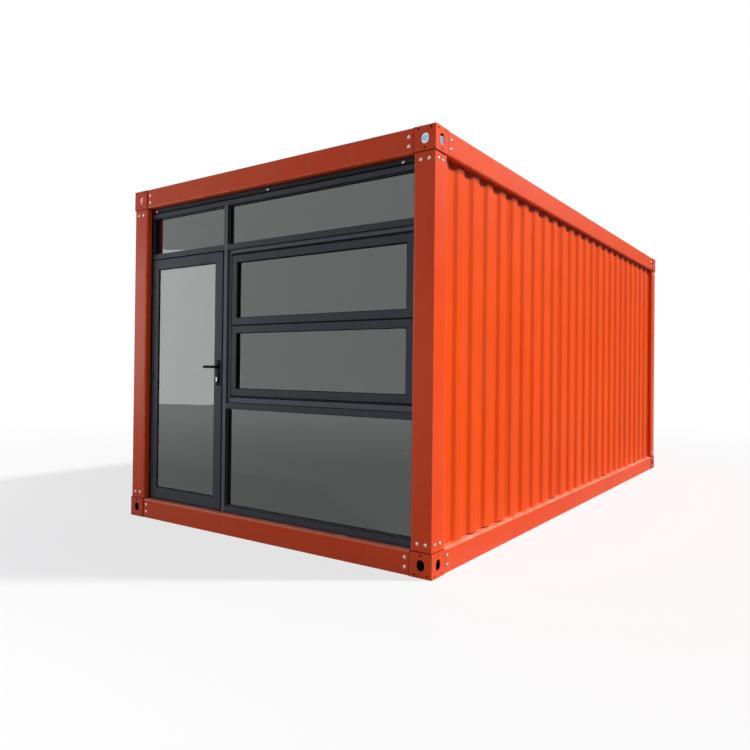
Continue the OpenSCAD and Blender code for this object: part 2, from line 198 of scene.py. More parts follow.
def stamp(bm, unit, places):
    """Adds a copy of the unit bmesh at each place, and frees the unit."""
    mesh = bpy.data.meshes.new("unit")
    unit.to_mesh(mesh)
    unit.free()
    for place in places:
        first, first_face = len(bm.verts), len(bm.faces)
        bm.from_mesh(mesh)
        bmesh.ops.transform(bm, matrix=place, verts=bm.verts[first:])
        if place.determinant() < 0:       # a mirrored copy is inside out
            bmesh.ops.reverse_faces(bm, faces=bm.faces[first_face:])
    bpy.data.meshes.remove(mesh)


def facing(out, at, turn=0.0):
    """A place whose local Z points out of a wall and whose local Y points up."""
    out = Vector(out)
    up = Vector((0, 0, 1)) if abs(out.z) < 0.5 else Vector((0, 1, 0))
    axes = Matrix((up.cross(out), up, out)).transposed().to_4x4()
    return Matrix.Translation(at) @ axes @ Matrix.Rotation(turn, 4, "Z")


# %% [markdown]
# Some construction parts only need softer edges. The model's mesh is loose triangles,
# so a copy is merged, its flat faces are made whole again, and then its outside
# corners are bevelled. The original stays in the model, hidden behind the copy.

# %% Soften a part of the model
FITTING, SMALL_HOLES = 0.160, (0.042, 0.072)
FLAT, STRAIGHT = math.radians(0.5), 0.99


def hidden_wall(at, normal, level):
    """True for the inner walls of a corner fitting and the rims of its small holes."""
    from_middle = Vector((abs(at.x) - HALF_W, abs(at.y) - HALF_L, at.z - level))
    from_middle += Vector((FITTING / 2, FITTING / 2, 0))
    outward = Vector((math.copysign(from_middle.x, at.x * from_middle.x),
                      math.copysign(from_middle.y, at.y * from_middle.y), from_middle.z))
    if outward.dot(normal) < -0.05:
        return True
    wall = max(range(3), key=lambda i: abs(outward[i]))
    rest = [abs(outward[i]) for i in range(3) if i != wall]
    return (max(rest) < SMALL_HOLES[1] and math.hypot(*rest) > SMALL_HOLES[0]
            and abs(normal[wall]) < 0.95)


def merged_copy(node):
    """A copy of a construction part's mesh, with its loose triangles joined up."""
    bm = start()
    bm.from_mesh(frame["nodes"][node].data)
    bmesh.ops.remove_doubles(bm, verts=bm.verts, dist=MERGE)
    return bm


def softened(node, width, material, outer_only=False, inside=None):
    """A merged copy of a construction part with bevelled corners.

    The inside material is dark: painted shade on fittings' inner walls and small-hole rims.
    """
    bm = merged_copy(node)
    bmesh.ops.dissolve_limit(bm, angle_limit=FLAT, verts=bm.verts, edges=bm.edges,
                             use_dissolve_boundaries=False)
    low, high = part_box(node)
    middle = (low + high) / 2
    edges = sharp_edges(bm)
    if outer_only:
        edges = [e for e in edges if all(
            (e.verts[0].co - middle).dot(f.normal) > 0 for f in e.link_faces)]
    bevel(bm, edges, width)
    layer = bm.faces.layers.float[EDGE]
    for face in bm.faces:
        hidden = inside and hidden_wall(face.calc_center_median(), face.normal, middle.z)
        face.material_index = 1 if hidden else 0
        # Rolled lips and other curved faces are marked as edge too: painted highlight and wear.
        if outer_only and max(abs(part) for part in face.normal) < STRAIGHT:
            face[layer] = 1.0
    materials = [material, inside] if inside else [material]
    body = frame["nodes"][node]["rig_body"]
    return piece(f"{node}_finished", bm, materials, [node], body)


# %% [markdown]
# ## Finishes
# Every finish is procedural and reads object coordinates in metres, so its grain has a
# real size. Effects that several finishes share are node groups: a slow drift of
# colour, the fine skin of sprayed paint, settled dust that also paints light on faces
# that look up, rain streaks, and edges lightened as wear and as painted highlight.

# %% Tools for shader trees
def srgb(red, green, blue):
    """A colour picked on a 0 to 255 scale, as Blender's linear colour."""
    def linear(value):
        share = value / 255
        return share / 12.92 if share <= 0.04045 else ((share + 0.055) / 1.055) ** 2.4
    return (linear(red), linear(green), linear(blue), 1.0)


def fill(made, feeds):
    """Fills a node's sockets with values, or with links from other sockets."""
    for name, value in feeds.items():
        if isinstance(value, bpy.types.NodeSocket):
            made.id_data.links.new(value, made.inputs[name])
        else:
            made.inputs[name].default_value = value


def node(tree, kind, feeds=None, **settings):
    """Adds a node, applies its settings, then fills its sockets."""
    made = tree.nodes.new("ShaderNode" + kind)
    for name, value in settings.items():
        setattr(made, name, value)
    fill(made, feeds or {})
    return made


def tree_of(*values):
    """The node tree that the first socket among these values belongs to."""
    return next(v.id_data for v in values if isinstance(v, bpy.types.NodeSocket))


def math_of(operation, a, b, clamp=False):
    """The result of a Math node."""
    return node(tree_of(a, b), "Math", {0: a, 1: b}, operation=operation,
                use_clamp=clamp).outputs[0]


def times(a, b, clamp=False):
    """The product of two values."""
    return math_of("MULTIPLY", a, b, clamp)


def ramp(value, low, high, to_low=0.0, to_high=1.0):
    """Stretches the range low to high over to_low to to_high, and clamps it."""
    feeds = {"Value": value, "From Min": low, "From Max": high, "To Min": to_low,
             "To Max": to_high}
    return node(tree_of(value), "MapRange", feeds).outputs[0]


def mix_colour(share, a, b):
    """Colour a, going over to colour b with share."""
    return node(tree_of(share), "Mix", {0: share, 6: a, 7: b}, data_type="RGBA").outputs[2]


def noise(vector, scale, detail=3.0, rough=0.5):
    """A noise value around one half."""
    feeds = {"Vector": vector, "Scale": scale, "Detail": detail, "Roughness": rough}
    return node(tree_of(vector), "TexNoise", feeds).outputs["Fac"]


def object_point(tree, stretch=(1, 1, 1)):
    """Object coordinates in metres, stretched along each axis."""
    point = node(tree, "TexCoord").outputs["Object"]
    return node(tree, "Mapping", {"Vector": point, "Scale": stretch}).outputs[0]


def part_of(vector, axis):
    """One coordinate of a vector."""
    return node(tree_of(vector), "SeparateXYZ", {0: vector}).outputs[axis]


def bump(height, depth, over=None):
    """A normal from a height in metres, on top of another normal if one is given."""
    feeds = {"Height": height, "Distance": depth, "Strength": 1.0}
    if over:
        feeds["Normal"] = over
    return node(tree_of(height), "Bump", feeds).outputs[0]


def blank_material(name):
    """A new material, its tree and its main shader."""
    material = bpy.data.materials.new(name)
    material.use_nodes = True
    return material, material.node_tree, material.node_tree.nodes["Principled BSDF"]


# %% Groups that the finishes share
def group(name, output, **inputs):
    """A group with named inputs and one output: its tree, its inputs and that output."""
    tree = bpy.data.node_groups.new(name, "ShaderNodeTree")
    for label, value in inputs.items():
        kind = "NodeSocketColor" if isinstance(value, tuple) else "NodeSocketFloat"
        socket = tree.interface.new_socket(name=label, in_out="INPUT", socket_type=kind)
        socket.default_value = value
    kind = "NodeSocketColor" if output == "Color" else "NodeSocketFloat"
    tree.interface.new_socket(name=output, in_out="OUTPUT", socket_type=kind)
    given = tree.nodes.new("NodeGroupInput").outputs
    return tree, given, tree.nodes.new("NodeGroupOutput").inputs[0]


def colour_drift():
    """Two close colours that wander into each other over decimetres and metres."""
    white = (1, 1, 1, 1)
    tree, given, result = group("colour_drift", "Color", Main=white, Other=white, Scale=1.0)
    point = object_point(tree)
    broad = noise(point, given["Scale"], 2)
    fine = noise(point, times(given["Scale"], 9.0), 4)
    both = math_of("ADD", times(broad, 0.7), times(fine, 0.3))
    share = ramp(both, 0.38, 0.62)
    tree.links.new(mix_colour(share, given["Main"], given["Other"]), result)
    return tree


def paint_skin():
    """Height of a sprayed coat: orange peel with a finer dust nib on it."""
    tree, given, result = group("paint_skin", "Height", Scale=200.0)
    point = object_point(tree)
    peel = noise(point, given["Scale"], 2)
    nibs = noise(point, times(given["Scale"], 5.0), 1)
    tree.links.new(math_of("ADD", peel, times(nibs, 0.25)), result)
    return tree


def settled_dust_and_top_light():
    """Mask of dust and painted light on faces that look up, and of splash dirt low on walls."""
    tree, given, result = group("settled_dust_and_top_light", "Mask", Foot=0.5, Level=0.4, Splash=0.3)
    point = object_point(tree)
    height = part_of(point, 2)
    low = ramp(height, 0.0, given["Foot"], 1.0, 0.0)
    normal = node(tree, "NewGeometry").outputs["Normal"]
    upward = ramp(part_of(normal, 2), 0.25, 0.95)
    patches = ramp(noise(point, 7.0, 6, 0.62), 0.35, 0.75, 0.25, 1.0)
    level = times(upward, times(given["Level"], ramp(height, 0.2, 1.0, 1.0, 0.4)))
    splash = times(times(low, low), given["Splash"])
    both = math_of("ADD", level, splash)
    tree.links.new(times(both, patches, True), result)
    return tree


def rain_streaks():
    """Mask of faint upright streaks."""
    tree, given, result = group("rain_streaks", "Mask", Scale=30.0)
    point = object_point(tree, (1, 1, 0.035))
    lines = ramp(noise(point, given["Scale"], 3, 0.6), 0.48, 0.75)
    runs = ramp(noise(object_point(tree, (1, 1, 0.5)), 2.0, 2), 0.35, 0.65)
    tree.links.new(times(lines, runs), result)
    return tree


def wear_and_highlight_edges():
    """Mask of bevelled faces, broken up as a rubbed edge is: for wear and painted highlight."""
    tree, given, result = group("wear_and_highlight_edges", "Mask", Scale=25.0)
    edge = node(tree, "Attribute", attribute_name=EDGE).outputs["Fac"]
    broken = ramp(noise(object_point(tree), given["Scale"], 4), 0.3, 0.62)
    tree.links.new(times(edge, broken), result)
    return tree


DRIFT, SKIN, DUST_AND_TOP_LIGHT, STREAKS, WEAR_AND_HIGHLIGHT = (
    colour_drift(), paint_skin(), settled_dust_and_top_light(), rain_streaks(), wear_and_highlight_edges())
print("shared groups:", [g.name for g in (DRIFT, SKIN, DUST_AND_TOP_LIGHT, STREAKS, WEAR_AND_HIGHLIGHT)])

# %% [markdown]
# Most of the room is coated metal: gloss enamel on the frame, roller-coated ribbed
# sheet, powder-coated window bars, pale lining panels. They differ in colour, gloss,
# grain and dirt, and not in kind, so one function lays the same coats in the same
# order with each finish's own values. On the sheet, the strip of wall right under the
# roof beam is painted darker, as painted shade that deepens the beam's shadow there.

# %% One function for every coated surface
# Painted shade: colour and heights of the dark band painted under the roof beam.
EAVES_PAINTED_SHADE = srgb(86, 14, 6)
EAVES_SHADE_FROM, EAVES_SHADE_FULL, EAVES_SHADE_PAST = EAVES - 0.062, EAVES - 0.035, EAVES + 0.02


def shared(tree, effect, **values):
    """The output of a shared group, placed with its own values."""
    return node(tree, "Group", values, node_tree=effect).outputs[0]


def coating(name, main, other, gloss, skin=(200.0, 0.00015), edge=None, edge_share=0.5,
            dust=(0.5, 0.4, 0.3), dust_colour=(150, 135, 120), streak=0.1, drift=0.8,
            shine=0.5, dent=0.0, metal=0.0, eaves_shade=0.0):
    """A coat of two close colours with grain, worn edges, streaks and dust.

    gloss is the lowest and highest roughness. skin is the grain's scale and height. dust
    is how high splashes reach, how much lies on flat faces and how much low on the wall.
    """
    material, tree, shader = blank_material(name)
    dust_colour = srgb(*dust_colour)
    colour = shared(tree, DRIFT, Main=srgb(*main), Other=srgb(*other), Scale=drift)
    streaks = times(shared(tree, STREAKS), streak)
    colour = mix_colour(streaks, colour, dust_colour)
    # Edges go over to a lighter colour: wear, and painted highlight on bevels and lips.
    worn = times(shared(tree, WEAR_AND_HIGHLIGHT), edge_share)
    colour = mix_colour(worn, colour, srgb(*(edge or other)))
    foot, level, splash = dust
    # Dust on faces that look up; with a pale dust colour it also paints light on them.
    dirt = shared(tree, DUST_AND_TOP_LIGHT, Foot=foot, Level=level, Splash=splash)
    colour = mix_colour(dirt, colour, dust_colour)
    # Painted shade: the sheet darkens in a band just under the roof beam.
    if eaves_shade:
        rise = part_of(object_point(tree), 2)
        shade_rise = ramp(rise, EAVES_SHADE_FROM, EAVES_SHADE_FULL, 0.0, eaves_shade)
        below = ramp(rise, EAVES, EAVES_SHADE_PAST, 1.0, 0.0)
        colour = mix_colour(times(shade_rise, below), colour, EAVES_PAINTED_SHADE)
    cloud = ramp(noise(object_point(tree), 5.0, 4), 0.3, 0.7, *gloss)
    rough = math_of("ADD", cloud, times(dirt, 0.35), True)
    scale, depth = skin
    normal = bump(shared(tree, SKIN, Scale=scale), depth)
    if dent:
        normal = bump(noise(object_point(tree, (1, 1, 0.45)), 3.5, 1), dent, normal)
    fill(shader, {"Base Color": colour, "Roughness": rough, "Normal": normal,
                  "Specular IOR Level": shine, "Metallic": metal})
    return material


# %% The coated finishes
# The frame's pale dust on faces that look up is dust and painted sunlight on the beams' tops;
# its light edge colour is wear and painted highlight on bevels and rolled lips.
FRAME_PAINT = coating(
    "frame_enamel", (238, 75, 11), (232, 69, 10), (0.28, 0.4), shine=0.3,
    edge=(246, 132, 96), dust=(0.35, 0.75, 0.07), dust_colour=(220, 176, 152), streak=0.05)
# The ribbed sheet takes the painted shade under the roof beam.
SHEET_PAINT = coating(
    "ribbed_sheet_coating", (240, 80, 5), (234, 74, 4), (0.34, 0.46), shine=0.14,
    skin=(90.0, 0.0001), edge=(238, 96, 54), edge_share=0.35, dust=(0.5, 0.25, 0.2),
    streak=0.12, dent=0.004, eaves_shade=0.62)
PANEL_COATING = coating(
    "lining_panel_coating", (214, 214, 209), (206, 207, 203), (0.42, 0.55),
    skin=(60.0, 0.0001), edge=(180, 180, 176), dust=(0.4, 0.1, 0.12), streak=0.04)
FLOORING = coating(
    "sheet_flooring", (128, 124, 118), (116, 112, 106), (0.4, 0.58), skin=(500.0, 0.0002),
    edge=(96, 92, 86), dust=(0.2, 0.25, 0.0), streak=0.0, drift=14.0)
# Painted shade: a dark coat for fittings' inner walls, small-hole rims and webs.
SHADED_INSIDE = coating(
    "dark_inside_painted_shade", (38, 26, 23), (28, 20, 18), (0.6, 0.8), shine=0.2,
    skin=(150.0, 0.0003), dust=(0.3, 0.2, 0.1), streak=0.0)

POWDER = {"skin": (900.0, 0.00012), "edge_share": 0.45, "streak": 0.05}
BAR_COATING = coating(
    "window_bar_powder_coat", (84, 88, 95), (77, 81, 88), (0.4, 0.52), shine=0.33,
    edge=(116, 121, 130), dust=(0.4, 0.2, 0.16), **POWDER)
SASH_COATING = coating(
    "sash_powder_coat", (58, 61, 70), (52, 55, 64), (0.38, 0.5), shine=0.25,
    edge=(98, 102, 112), dust=(0.4, 0.2, 0.16), **POWDER)
# Painted shade on the trim strip under the roof beam; the hinges take it as their dark coat.
DARK_COAT_AND_SHADE = coating(
    "trim_coat_and_painted_shade", (40, 41, 48), (35, 36, 43), (0.4, 0.55), shine=0.2,
    edge=(74, 77, 86), dust=(0.4, 0.2, 0.0), **POWDER)
BLACK_PAINT = coating(
    "matt_black_handle", (13, 13, 15), (10, 10, 12), (0.34, 0.46), shine=0.06,
    skin=(1200.0, 0.00008), edge=(60, 60, 62), edge_share=0.45, dust=(0.1, 0.15, 0.0),
    streak=0.0)

# Black rubber; as strips in the gaps round panes, sashes, door and window wall it is also
# painted shade.
RUBBER_AND_SHADE = coating(
    "black_rubber_and_painted_shade", (17, 17, 19), (12, 12, 14), (0.55, 0.75), shine=0.08,
    skin=(700.0, 0.0002), edge=(36, 36, 38), dust=(0.4, 0.2, 0.06), streak=0.05)
JOINT_SEAL = coating(
    "dark_joint_seal", (138, 34, 14), (124, 30, 12), (0.5, 0.7), shine=0.1,
    skin=(700.0, 0.0002), dust=(0.4, 0.1, 0.1), streak=0.0)
# The sealant bead's pale dust on top is dust and painted sunlight on the ledge.
SEALANT = coating(
    "paint_coloured_sealant", (236, 92, 48), (228, 86, 44), (0.5, 0.65), shine=0.2,
    skin=(120.0, 0.0008), dust=(0.3, 0.5, 0.2), dust_colour=(206, 164, 140), streak=0.05)

CAP = {"dust": (0.1, 0.1, 0.05), "streak": 0.05}
CAP_FILM = {"gloss": (0.22, 0.32), "metal": 0.6, **CAP}
CAP_SHADE = {"gloss": (0.4, 0.5), "shine": 0.3, **CAP}
CAP_RIM = coating(
    "cap_rim_film", (246, 246, 253), (236, 237, 248), edge=(252, 252, 254), **CAP_FILM)
CAP_BLUE = coating("cap_blue_film", (172, 216, 250), (150, 200, 244), edge=(206, 222, 246),
                   drift=20.0, **CAP_FILM)
CAP_RED = coating("cap_red_film", (252, 148, 134), (244, 132, 118), edge=(252, 176, 160),
                  drift=20.0, **CAP_FILM)
# Painted shade: darker, non-metal copies of the cap films for the side walls.
CAP_SHADED = coating(
    "cap_rim_shaded", (172, 166, 198), (160, 155, 188), edge=(190, 186, 210), **CAP_SHADE)
CAP_BLUE_SHADED = coating(
    "cap_blue_shaded", (138, 168, 216), (124, 156, 206), edge=(170, 190, 224), **CAP_SHADE)

# %% [markdown]
# Zinc is a bare metal, so its colour is its reflection. Joists show the frosted
# crystals of hot-dip zinc, and bolts are too small for them and keep a brushed look.

# %% Bare metals
def bare_metal(name, light, dark, gloss, cells, depth):
    """Metal in patches of two tones, each patch with its own gloss."""
    material, tree, shader = blank_material(name)
    light, dark = srgb(*light), srgb(*dark)
    point = object_point(tree)
    patch = node(tree, "TexVoronoi", {"Vector": point, "Scale": cells}).outputs["Color"]
    tone = part_of(patch, 0)
    grime = ramp(noise(point, 60.0, 5, 0.6), 0.5, 0.8, 0.0, 0.5)
    colour = mix_colour(tone, light, dark)
    colour = mix_colour(grime, colour, srgb(96, 90, 84))
    worn = times(shared(tree, WEAR_AND_HIGHLIGHT, Scale=60.0), 0.4)
    rough = math_of("ADD", ramp(tone, 0.0, 1.0, *gloss), times(grime, 0.4), True)
    fill(shader, {"Base Color": mix_colour(worn, colour, light), "Roughness": rough,
                  "Normal": bump(tone, depth), "Metallic": 1.0})
    return material


ZINC = bare_metal("galvanised_steel", (196, 200, 203), (158, 163, 168), (0.34, 0.5),
                  60.0, 0.00005)
BOLT_ZINC = bare_metal("bright_zinc", (248, 236, 228), (226, 214, 206), (0.2, 0.34),
                       400.0, 0.00002)
NICKEL = bare_metal("bright_nickel", (226, 222, 210), (204, 200, 188), (0.14, 0.26),
                    600.0, 0.00001)

# %% [markdown]
# The panes are grey-green solar glass with a reflective coat. From outside they mirror
# the surroundings and let little through. Clear glass in Cycles stops the lamps, so
# the material turns transparent for shadow rays and daylight still reaches the room.

# %% Solar glass
TINT, FILM = srgb(122, 136, 132), srgb(150, 158, 152)


def solar_glass():
    """Tinted glass that mirrors more than plain glass and lets the lamps in."""
    material, tree, shader = blank_material("solar_glass")
    film = ramp(noise(object_point(tree), 4.0, 5, 0.6), 0.45, 0.8, 0.0, 0.12)
    wave = noise(object_point(tree, (1, 1, 0.5)), 1.6, 1)
    fill(shader, {"Base Color": mix_colour(film, TINT, FILM), "Normal": bump(wave, 0.004),
                  "Roughness": 0.0, "IOR": 1.95, "Transmission Weight": 1.0})
    clear = node(tree, "BsdfTransparent", {"Color": TINT}).outputs[0]
    ray = node(tree, "LightPath").outputs["Is Shadow Ray"]
    both = node(tree, "MixShader", {0: ray, 1: shader.outputs[0], 2: clear}).outputs[0]
    fill(tree.nodes["Material Output"], {"Surface": both})
    return material


GLASS = solar_glass()
for name in ("top_light_glass", "fixed_light_glass", "sash_glass", "door_glass"):
    glazing = frame["nodes"][name].data.materials
    glazing.clear()
    glazing.append(GLASS)
print("materials:", len(bpy.data.materials))

# %% [markdown]
# ## The steel frame
# Posts and beams are rolled from coil, and the corner fittings are welded from plate.
# All three only need corners that catch the light. The tubes are closed, so just their
# outer edges are bevelled.

# %% Posts, beams and corner fittings
STEEL = [name for name in frame["nodes"] if name.endswith(("_post", "_beam"))]
FITTINGS = ("top_corner_fittings", "bottom_corner_fittings")
for name in STEEL:
    softened(name, 0.0015, FRAME_PAINT, outer_only=True)
# Inner walls and small-hole rims of the fittings take the dark painted shade.
for name in FITTINGS:
    softened(name, 0.0022, FRAME_PAINT, inside=SHADED_INSIDE)
print("steel parts:", len(STEEL) + len(FITTINGS))

# %% [markdown]
# A corner fitting is stiffened by a short plate that stands diagonally behind its outer
# corner. It leaves room for a hook behind each hole, but nothing shows through from one
# hole to the next, so the holes look dark. The plate and the fitting's inner walls take
# a dark coat that is painted shade.

# %% Stiffening plates in the bottom fittings
WEB_FROM, WEB_TO, WEB_THICK, WEB_CLEAR = 0.008, 0.058, 0.004, 0.008
foot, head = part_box("bottom_corner_fittings")
webs = start()
for side in (-1, 1):
    for end in (-1, 1):
        web = start()
        block(web, (WEB_FROM * math.sqrt(2), -WEB_THICK / 2, foot.z + WEB_CLEAR),
              (WEB_TO * math.sqrt(2), WEB_THICK / 2, head.z - WEB_CLEAR), 0.0005, 1)
        inward = Matrix.Rotation(math.atan2(-end, -side), 4, "Z")
        stamp(webs, web, [Matrix.Translation((side * HALF_W, end * HALF_L, 0)) @ inward])
piece("fitting_webs", webs, [SHADED_INSIDE])

# %% [markdown]
# The frame comes as a kit that is bolted together, so a dark red sealing strip shows where
# a beam or a post meets a fitting. A strip has the outline of the tube it closes, so it
# is cut from the tube's own outer skin: two bisect planes leave a thin band, which is
# grown a little and capped.

# %% Sealing strips at the bolted joints
STRIP, STRIP_PROUD = 0.0042, 0.0056
INSIDE = 0.0002                           # how far a strip stays inside the room's box


def cut_away(bm, at, way):
    """Cuts off all that lies beyond a plane."""
    bmesh.ops.bisect_plane(bm, geom=bm.verts[:] + bm.edges[:] + bm.faces[:],
                           plane_co=at, plane_no=way, clear_outer=True, dist=MERGE)


def band(source, axis, low, high):
    """The outer skin of a tube between two planes across it, grown and capped."""
    along = Vector([float(axis == i) for i in range(3)])
    middle = sum(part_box(source), Vector()) / 2
    bm = merged_copy(source)
    hidden = [f for f in bm.faces if abs(f.normal.dot(along)) > 0.5
              or (f.calc_center_median() - middle).dot(f.normal) < 0]
    bmesh.ops.delete(bm, geom=hidden, context="FACES")
    cut_away(bm, along * low, -along)
    cut_away(bm, along * high, along)
    bm.normal_update()
    for vert in bm.verts:
        vert.co += vert.normal * STRIP_PROUD
        for i, (low_limit, high_limit) in enumerate(zip(*CAD_BOX)):
            vert.co[i] = min(max(vert.co[i], low_limit + INSIDE), high_limit - INSIDE)
    bmesh.ops.holes_fill(bm, edges=[e for e in bm.edges if e.is_boundary])
    bmesh.ops.recalc_face_normals(bm, faces=bm.faces)
    return bm


strips = start()
for name in STEEL:
    axis = 2 if name.endswith("_post") else 1 if name.startswith(("left", "right")) else 0
    low, high = (corner[axis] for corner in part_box(name))
    for end in ((low, low + STRIP), (high - STRIP, high)):
        stamp(strips, band(name, axis, *end), [Matrix()])
piece("joint_strips", strips, [JOINT_SEAL])
print("sealing strips:", 2 * len(STEEL))

# %% [markdown]
# Every joint has two button-head bolts a side, each with a socket and a washer. One bolt
# is turned from its outline and stamped round all four walls.

# %% Bolts
BOLT_OUTLINE = [(0, 0), (0.0112, 0), (0.0112, 0.0008), (0.0104, 0.0011), (0.0102, 0.0024),
                (0.0090, 0.0044), (0.0072, 0.0055), (0.0060, 0.0057), (0.0055, 0.0052),
                (0.0052, 0.0026), (0, 0.0026)]
BOLT_SOCKET = 0.0059
BEAM_BOLTS = {0: 0.049, 1: 0.040}         # from the fitting, on side and end beams
POST_BOLTS, EDGE_BOLTS = 0.050, (0.050, 0.110)


def bolt(steps=20):
    """A button-head bolt, with its socket in the second material."""
    bm = lathe(BOLT_OUTLINE, steps)
    for face in bm.faces:
        middle = face.calc_center_median()
        if middle.xy.length < BOLT_SOCKET and middle.z > 0:
            face.material_index = 1
    return bm


def bolt_places():
    """A place for every bolt, from the joint lines of the frame."""
    rng = random.Random(5)
    for out_axis, along_axis, plane, bay in ((0, 1, STEEL_X, BAY_Y), (1, 0, STEEL_Y, BAY_X)):
        on_beam = [(bay - BEAM_BOLTS[out_axis], z)
                   for edge in EDGE_BOLTS for z in (edge, TOP - edge)]
        on_post = [(bay + FITTING - edge, z)
                   for edge in EDGE_BOLTS for z in (FLOOR + POST_BOLTS, EAVES - POST_BOLTS)]
        for side in (-1, 1):
            out = Vector((0, 0, 0))
            out[out_axis] = side
            for end in (-1, 1):
                for across, z in on_beam + on_post:
                    at = out * plane + Vector((0, 0, z))
                    at[along_axis] = end * across
                    yield facing(out, at, rng.uniform(0, math.tau))


bolts = start()
places = list(bolt_places())
stamp(bolts, bolt(), places)
piece("frame_bolts", bolts, [BOLT_ZINC, ZINC])
print("bolts:", len(places))

# %% [markdown]
# The lifting holes of the roof fittings are closed from inside by round plastic caps.
# A cap is a turned dish with a raised rim. The front right pair is blue and white, and
# the front left one is red; the rear ones are taken to be like the right ones. The caps
# in the side walls take darker copies of the white and blue films, as painted shade.

# %% Fitting caps
CAP_OUTLINE = [(0, -0.004), (0.033, -0.004), (0.033, -0.0008), (0.0322, 0), (0.0216, 0),
               (0.0204, -0.0009), (0.0120, -0.0012), (0, -0.0008)]
CAP_BACK = 0.006
SIDE_BACK, SIDE_SLIP = 0.003, Vector((0, 0.005, -0.012))
RIM_RADIUS, CAP_FRONT = 0.0212, -0.002


def cap(rim, centre):
    """A cap whose rim and centre take the given material indices."""
    bm = lathe(CAP_OUTLINE, 40)
    for face in bm.faces:
        middle = face.calc_center_median()
        inner = middle.xy.length < RIM_RADIUS and middle.z > CAP_FRONT
        face.material_index = centre if inner else rim
    return bm


caps = start()
hole = (EAVES + TOP) / 2
for side in (-1, 1):
    for end in (-1, 1):
        red = (side, end) == (-1, -1)
        front = facing((0, end, 0), (side * (HALF_W - 0.08), end * (HALF_L - CAP_BACK), hole))
        flank = facing((side, 0, 0), SIDE_SLIP + Vector((
            side * (HALF_W - SIDE_BACK), end * (HALF_L - 0.08), hole)))
        stamp(caps, cap(*((2, 2) if red else (0, 1))), [front])
        # A cap in a side wall takes the darker copies, as painted shade.
        stamp(caps, cap(*((2, 2) if red else (3, 4))), [flank])
piece("fitting_caps_finished", caps,
      [CAP_RIM, CAP_BLUE, CAP_RED, CAP_SHADED, CAP_BLUE_SHADED], ["fitting_caps"])

# %% [markdown]
# ## Ribbed sheet
# The walls and roof are coated steel sheet, rolled into ribs with soft folds. One rib is
# a line of five points. It is stamped along the wall, pulled up to the wall's height,
# and then its folds are rounded and the sheet gets its thickness. Sheets lap every five
# ribs, which shows as a narrow raised edge down a trough.

# %% A ribbed sheet
RIB_PITCH, RIB_CREST, RIB_FLANK, RIB_DEPTH = 0.225, 0.084, 0.037, 0.020
RIB_START, SHEET, FOLD = 0.073, 0.002, 0.006
FIRST_RIB = RIB_START - RIB_CREST
LAP_EVERY, LAP_IN, LAP_WIDE, LAP_PROUD, LAP_SUNK = 5, 0.045, 0.009, 0.0028, 0.0005


def rib_pitch(span):
    """How many ribs fill the span, and their true spacing."""
    count = round(span / RIB_PITCH)
    return count, span / count


def new_verts(geom):
    """The vertices among what an operator made."""
    return [v for v in geom if isinstance(v, bmesh.types.BMVert)]


def pull_up(bm, height):
    """Pulls lines up into a sheet whose faces look along Y."""
    pulled = bmesh.ops.extrude_edge_only(bm, edges=bm.edges)["geom"]
    bmesh.ops.translate(bm, vec=(0, 0, height), verts=new_verts(pulled))
    bmesh.ops.recalc_face_normals(bm, faces=bm.faces)
    if sum(f.normal.y for f in bm.faces) < 0:
        bmesh.ops.reverse_faces(bm, faces=bm.faces)


def ribbed_sheet(span, height):
    """A sheet in local axes: along the wall, outwards, and up. Crests lie at zero."""
    count, pitch = rib_pitch(span)
    rib = open_line([(0, 0, 0), (RIB_CREST, 0, 0), (RIB_CREST + RIB_FLANK, -RIB_DEPTH, 0),
                     (pitch - RIB_FLANK, -RIB_DEPTH, 0), (pitch, 0, 0)])
    bm = start()
    stamp(bm, rib, [Matrix.Translation((FIRST_RIB + k * pitch, 0, 0)) for k in range(count + 1)])
    bmesh.ops.remove_doubles(bm, verts=bm.verts, dist=MERGE)
    pull_up(bm, height)
    bevel(bm, [e for e in bm.edges if e.is_manifold and e.calc_face_angle() > 0.1], FOLD, 3)
    cut_away(bm, (0, 0, 0), (-1, 0, 0))
    cut_away(bm, (span, 0, 0), (1, 0, 0))
    bmesh.ops.solidify(bm, geom=bm.faces[:], thickness=SHEET)
    for k in range(LAP_EVERY - 1, count, LAP_EVERY):
        lap = FIRST_RIB + k * pitch + RIB_CREST + RIB_FLANK + LAP_IN
        block(bm, (lap, -RIB_DEPTH - LAP_SUNK, 0),
              (lap + LAP_WIDE, -RIB_DEPTH + LAP_PROUD, height), 0.0008, 1)
    return bm


def wall_axes(along, out, up, origin):
    """A place from the directions of a wall's along, out and up axes."""
    axes = Matrix((along, out, up)).transposed().to_4x4()
    return Matrix.Translation(origin) @ axes


# %% Side, rear and roof sheets
CREST_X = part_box("right_cladding")[1].x
CREST_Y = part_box("rear_cladding")[1].y
ROOF_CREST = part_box("roof_sheet")[1].z
X, Y, Z = Vector((1, 0, 0)), Vector((0, 1, 0)), Vector((0, 0, 1))
TALL = EAVES - FLOOR
SHEETS = {
    "right_cladding": (2 * BAY_Y, TALL, wall_axes(Y, X, Z, (CREST_X, -BAY_Y, FLOOR))),
    "left_cladding": (2 * BAY_Y, TALL, wall_axes(Y, -X, Z, (-CREST_X, -BAY_Y, FLOOR))),
    "rear_cladding": (2 * BAY_X, TALL, wall_axes(X, Y, Z, (-BAY_X, CREST_Y, FLOOR))),
    "roof_sheet": (2 * BAY_X, 2 * BAY_Y, wall_axes(X, Z, -Y, (-BAY_X, BAY_Y, ROOF_CREST))),
}
for name, (span, height, place) in SHEETS.items():
    sheet = start()
    stamp(sheet, ribbed_sheet(span, height), [place])
    made = piece(f"{name}_folded", sheet, [SHEET_PAINT], [name])
    print(name, "faces:", len(made.data.polygons))

